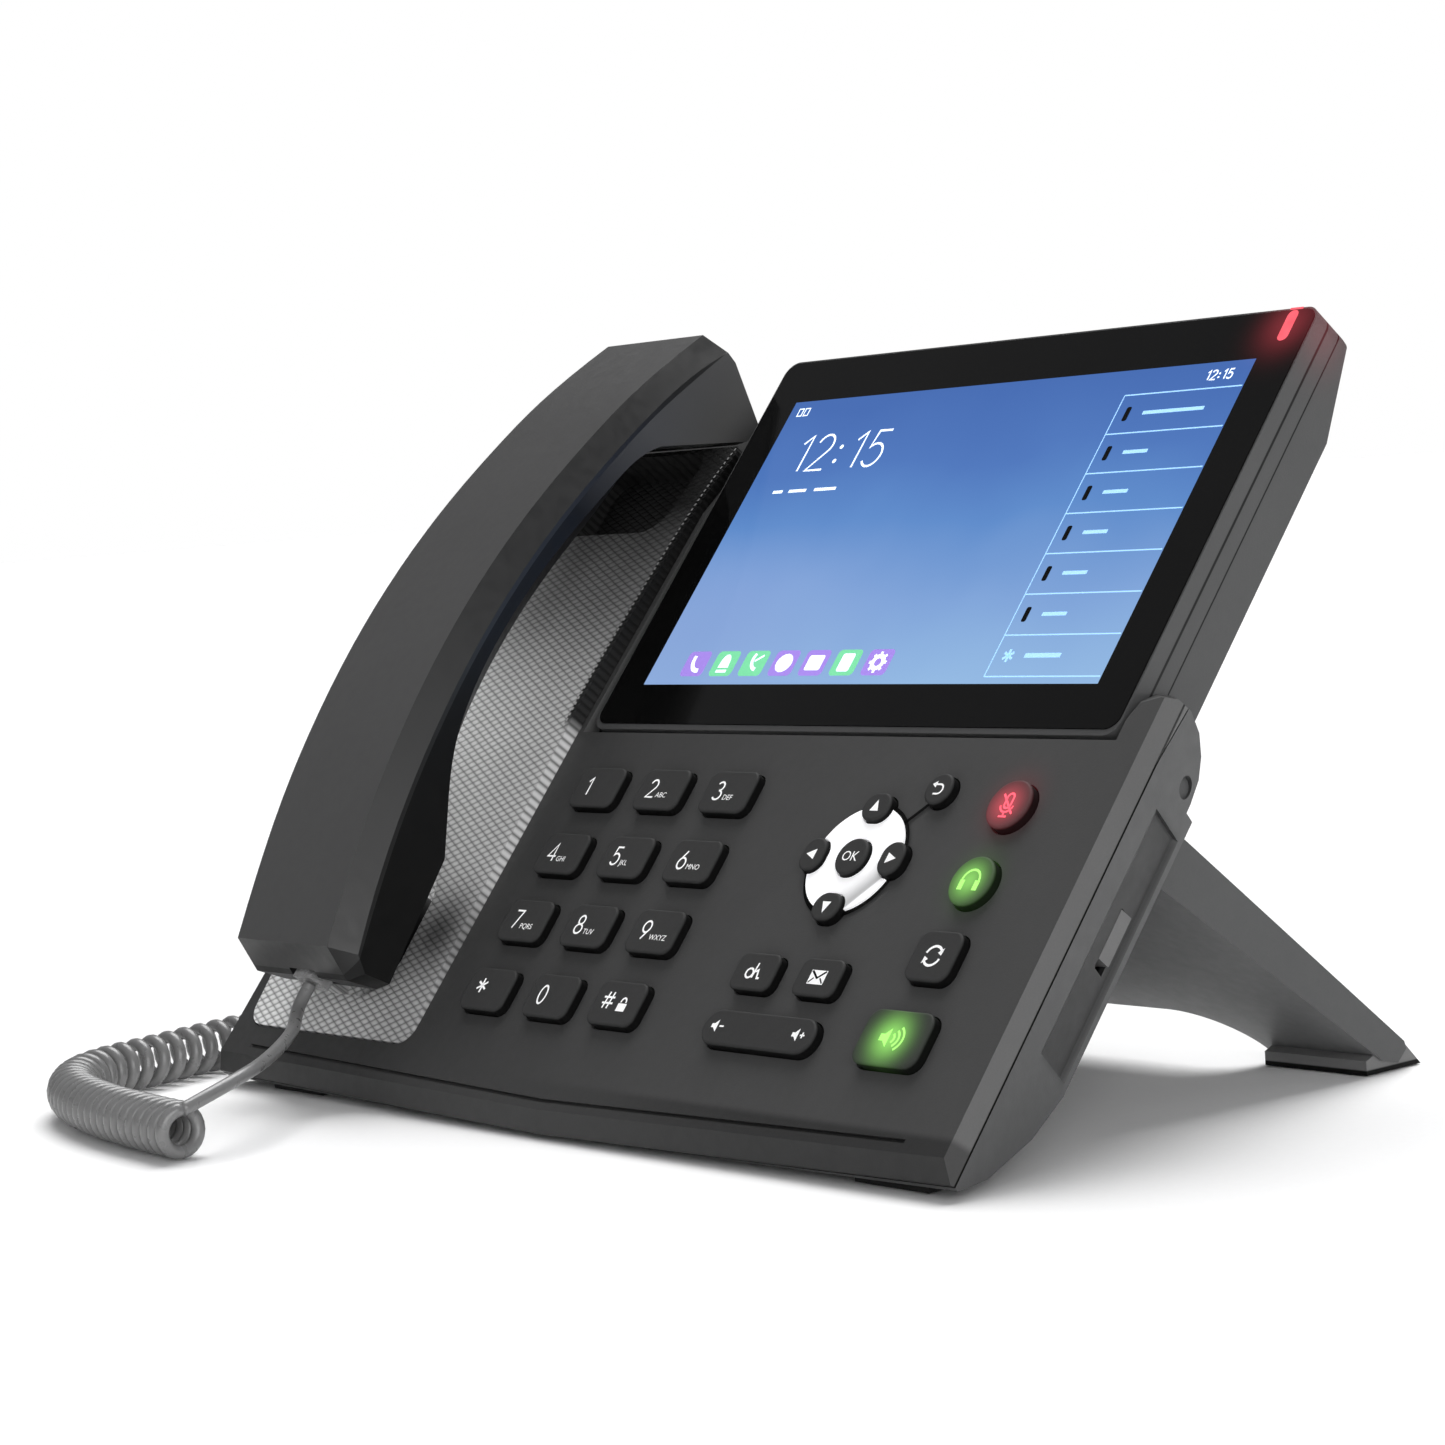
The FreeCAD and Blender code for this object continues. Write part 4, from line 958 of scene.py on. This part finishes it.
def app_glyphs():
    """A plain pale sign on each tile."""
    glyph = Sketch("tile_glyphs", SCREEN_W + 0.05)
    u = APP_COLUMNS
    glyph.stroke(arc(u[0] + 1.6, APP_V + 1.4, 3.0, 3.4, 165, 280), 1.2)
    glyph.area(arc(u[1], APP_V + 0.2, 1.7, 2.4, 0, 180)
               + [(u[1] - 1.9, APP_V - 1.2), (u[1] + 1.9, APP_V - 1.2)])
    glyph.stroke([(u[1] - 1.9, APP_V - 2.2), (u[1] + 1.9, APP_V - 2.2)], 0.8)
    glyph.stroke(arc(u[2] + 1.9, APP_V + 1.2, 3.0, 3.0, 150, 260), 1.0)
    glyph.stroke([(u[2] - 0.2, APP_V + 0.6), (u[2] + 2.4, APP_V + 2.2)], 0.6)
    glyph.area(arc(u[3], APP_V, 2.8, 2.6, 0, 348))
    glyph.area(rounded(u[4], APP_V, 5.4, 4.2, 0.6))
    glyph.area(rounded(u[5], APP_V, 4.2, 5.0, 0.6))
    glyph.stroke(arc(u[6], APP_V, 1.7, 1.7, 0, 360), 1.2)
    for spoke in range(8):
        a = math.radians(45 * spoke)
        glyph.stroke([(u[6] + 2.0 * math.cos(a), APP_V + 2.0 * math.sin(a)),
                      (u[6] + 2.9 * math.cos(a), APP_V + 2.9 * math.sin(a))], 0.8)
    glyph.done("display", PALE_LIGHT, "lit_screen")


def lamp_window():
    """Lit end of the message lamp, on the front at the top right corner."""
    mark = Sketch("lamp_window", SCREEN_W)
    mark.area(rounded(LAMP_SPOT[0], LAMP_SPOT[1] - 0.4, 3.0, 8.4, 1.4))
    mark.done("display", LAMP_GLOW, "signal_red")


def screen_clock():
    """The clock with three bars under it, the small clock at the right and two small frames at the left."""
    mark = Sketch("screen_clock", SCREEN_W)
    mark.figures("12:15", -66.5, 20.6, 10.8, 0.65)
    for start, stop in ((-67.0, -63.4), (-61.0, -54.5), (-51.5, -43.5)):
        mark.stroke([(start, 14.4), (stop, 14.4)], 0.9)
    mark.figures("12:15", 64.2, 38.0, 2.6, 0.4)
    for shift in (0.0, 2.4):
        left, right = -74.0 + shift, -72.4 + shift
        mark.stroke([(left, 38.4), (right, 38.4), (right, 40.6), (left, 40.6), (left, 38.4)], 0.35)
    mark.done("display", PALE_LIGHT, "lit_screen")


def screen_rows():
    """The list of seven lines at the right: a tick and a bar in each, and a star in the last."""
    lines = Sketch("screen_rows", SCREEN_W)
    bars = Sketch("screen_bars", SCREEN_W + 0.03)
    ticks = Sketch("screen_ticks", SCREEN_W + 0.05)
    top, pitch, left = 35.6, 10.95, 41.5
    for row in range(8):
        v = top - pitch * row
        lines.stroke([(left, v), (76.8, v)], 0.35)
    lines.stroke([(left, top), (left, top - 7 * pitch)], 0.3)
    for row in range(6):
        v = top - pitch * (row + 0.5)
        ticks.area(rounded(left + 3.6, v, 1.5, 4.0, 0.5))
        bars.stroke([(left + 8.5, v), (left + (27.0 if row == 0 else 16.0), v)], 1.0)
    v = top - pitch * 6.5
    bars.stroke([(left + 9.5, v), (left + 20.5, v)], 1.2)
    for angle in (90, 30, 150):
        du, dv = 1.7 * math.cos(math.radians(angle)), 1.7 * math.sin(math.radians(angle))
        bars.stroke([(left + 4.4 - du, v - dv), (left + 4.4 + du, v + dv)], 0.7)
    lines.done("display", SKY_LIGHT, "lit_screen")
    bars.done("display", SKY_LIGHT, "lit_screen")
    ticks.done("display", DARK_PRINT, "key_black")


# ---------------------------------------------------------------- camera, light and floor

def make_camera():
    """A long lens from the right, close to the height of the screen, with a slight roll."""
    data = bpy.data.cameras.new("camera")
    data.sensor_width = 36.0
    data.lens = 88.754
    data.clip_start = 0.02
    data.clip_end = 60.0
    camera = bpy.data.objects.new("camera", data)
    STAGE.objects.link(camera)
    camera.location = ORIGIN + Vector((0.6043, -0.55706, 0.01656))
    camera.rotation_euler = [math.radians(angle) for angle in (86.005, 4.244, 50.636)]
    bpy.context.scene.camera = camera


def sun(name, source, strength, angle):
    """Soft light that comes from a direction."""
    data = bpy.data.lights.new(name, "SUN")
    data.energy = strength
    data.angle = math.radians(angle)
    lamp = bpy.data.objects.new(name, data)
    lamp.rotation_euler = Vector(source).to_track_quat("Z", "Y").to_euler()
    STAGE.objects.link(lamp)


def make_light():
    """Two broad soft lamps over a pale studio, which the camera sees as plain white."""
    world = bpy.data.worlds.new("studio")
    bpy.context.scene.world = world
    world.use_nodes = True
    tree = world.node_tree
    back = tree.nodes["Background"]
    path = tree.nodes.new("ShaderNodeLightPath")
    pick = tree.nodes.new("ShaderNodeMix")
    pick.data_type = "RGBA"
    pick.inputs[6].default_value = (0.24, 0.24, 0.245, 1.0)
    pick.inputs[7].default_value = (1.0, 1.0, 1.0, 1.0)
    tree.links.new(path.outputs["Is Camera Ray"], pick.inputs[0])
    tree.links.new(pick.outputs[2], back.inputs["Color"])
    back.inputs["Strength"].default_value = 1.0
    sun("top_light", (-0.25, 0.35, 0.9), 3.0, 45)
    sun("side_light", (0.88, -0.42, 0.22), 1.9, 50)
    bpy.context.scene.view_settings.view_transform = "Standard"


def make_floor():
    """A sheet of pale paper just under the feet."""
    mesh = bmesh.new()
    bmesh.ops.create_grid(mesh, x_segments=8, y_segments=8, size=12.0)
    floor = finished("studio_floor", mesh)
    floor.location.z = -0.0003
    shade = Shade("floor_paper")
    fibre = shade.noise(2.0, 3.0)
    shade.put("Base Color", shade.mix(fibre, grey(0.9), grey(0.93)))
    shade.put("Roughness", 0.9)
    shade.put("Specular IOR Level", 0.1)
    floor.data.materials.append(shade.material)


make_camera()
make_light()
make_floor()
dress_nodes()
make_cords()
number_legends()
star_and_hash()
arrow_legends()
mute_legend()
headset_legend()
speaker_legend()
redial_legend()
contacts_legend()
mail_legend()
volume_legend()
disc_outline()
app_tiles()
app_glyphs()
screen_clock()
screen_rows()
lamp_window()
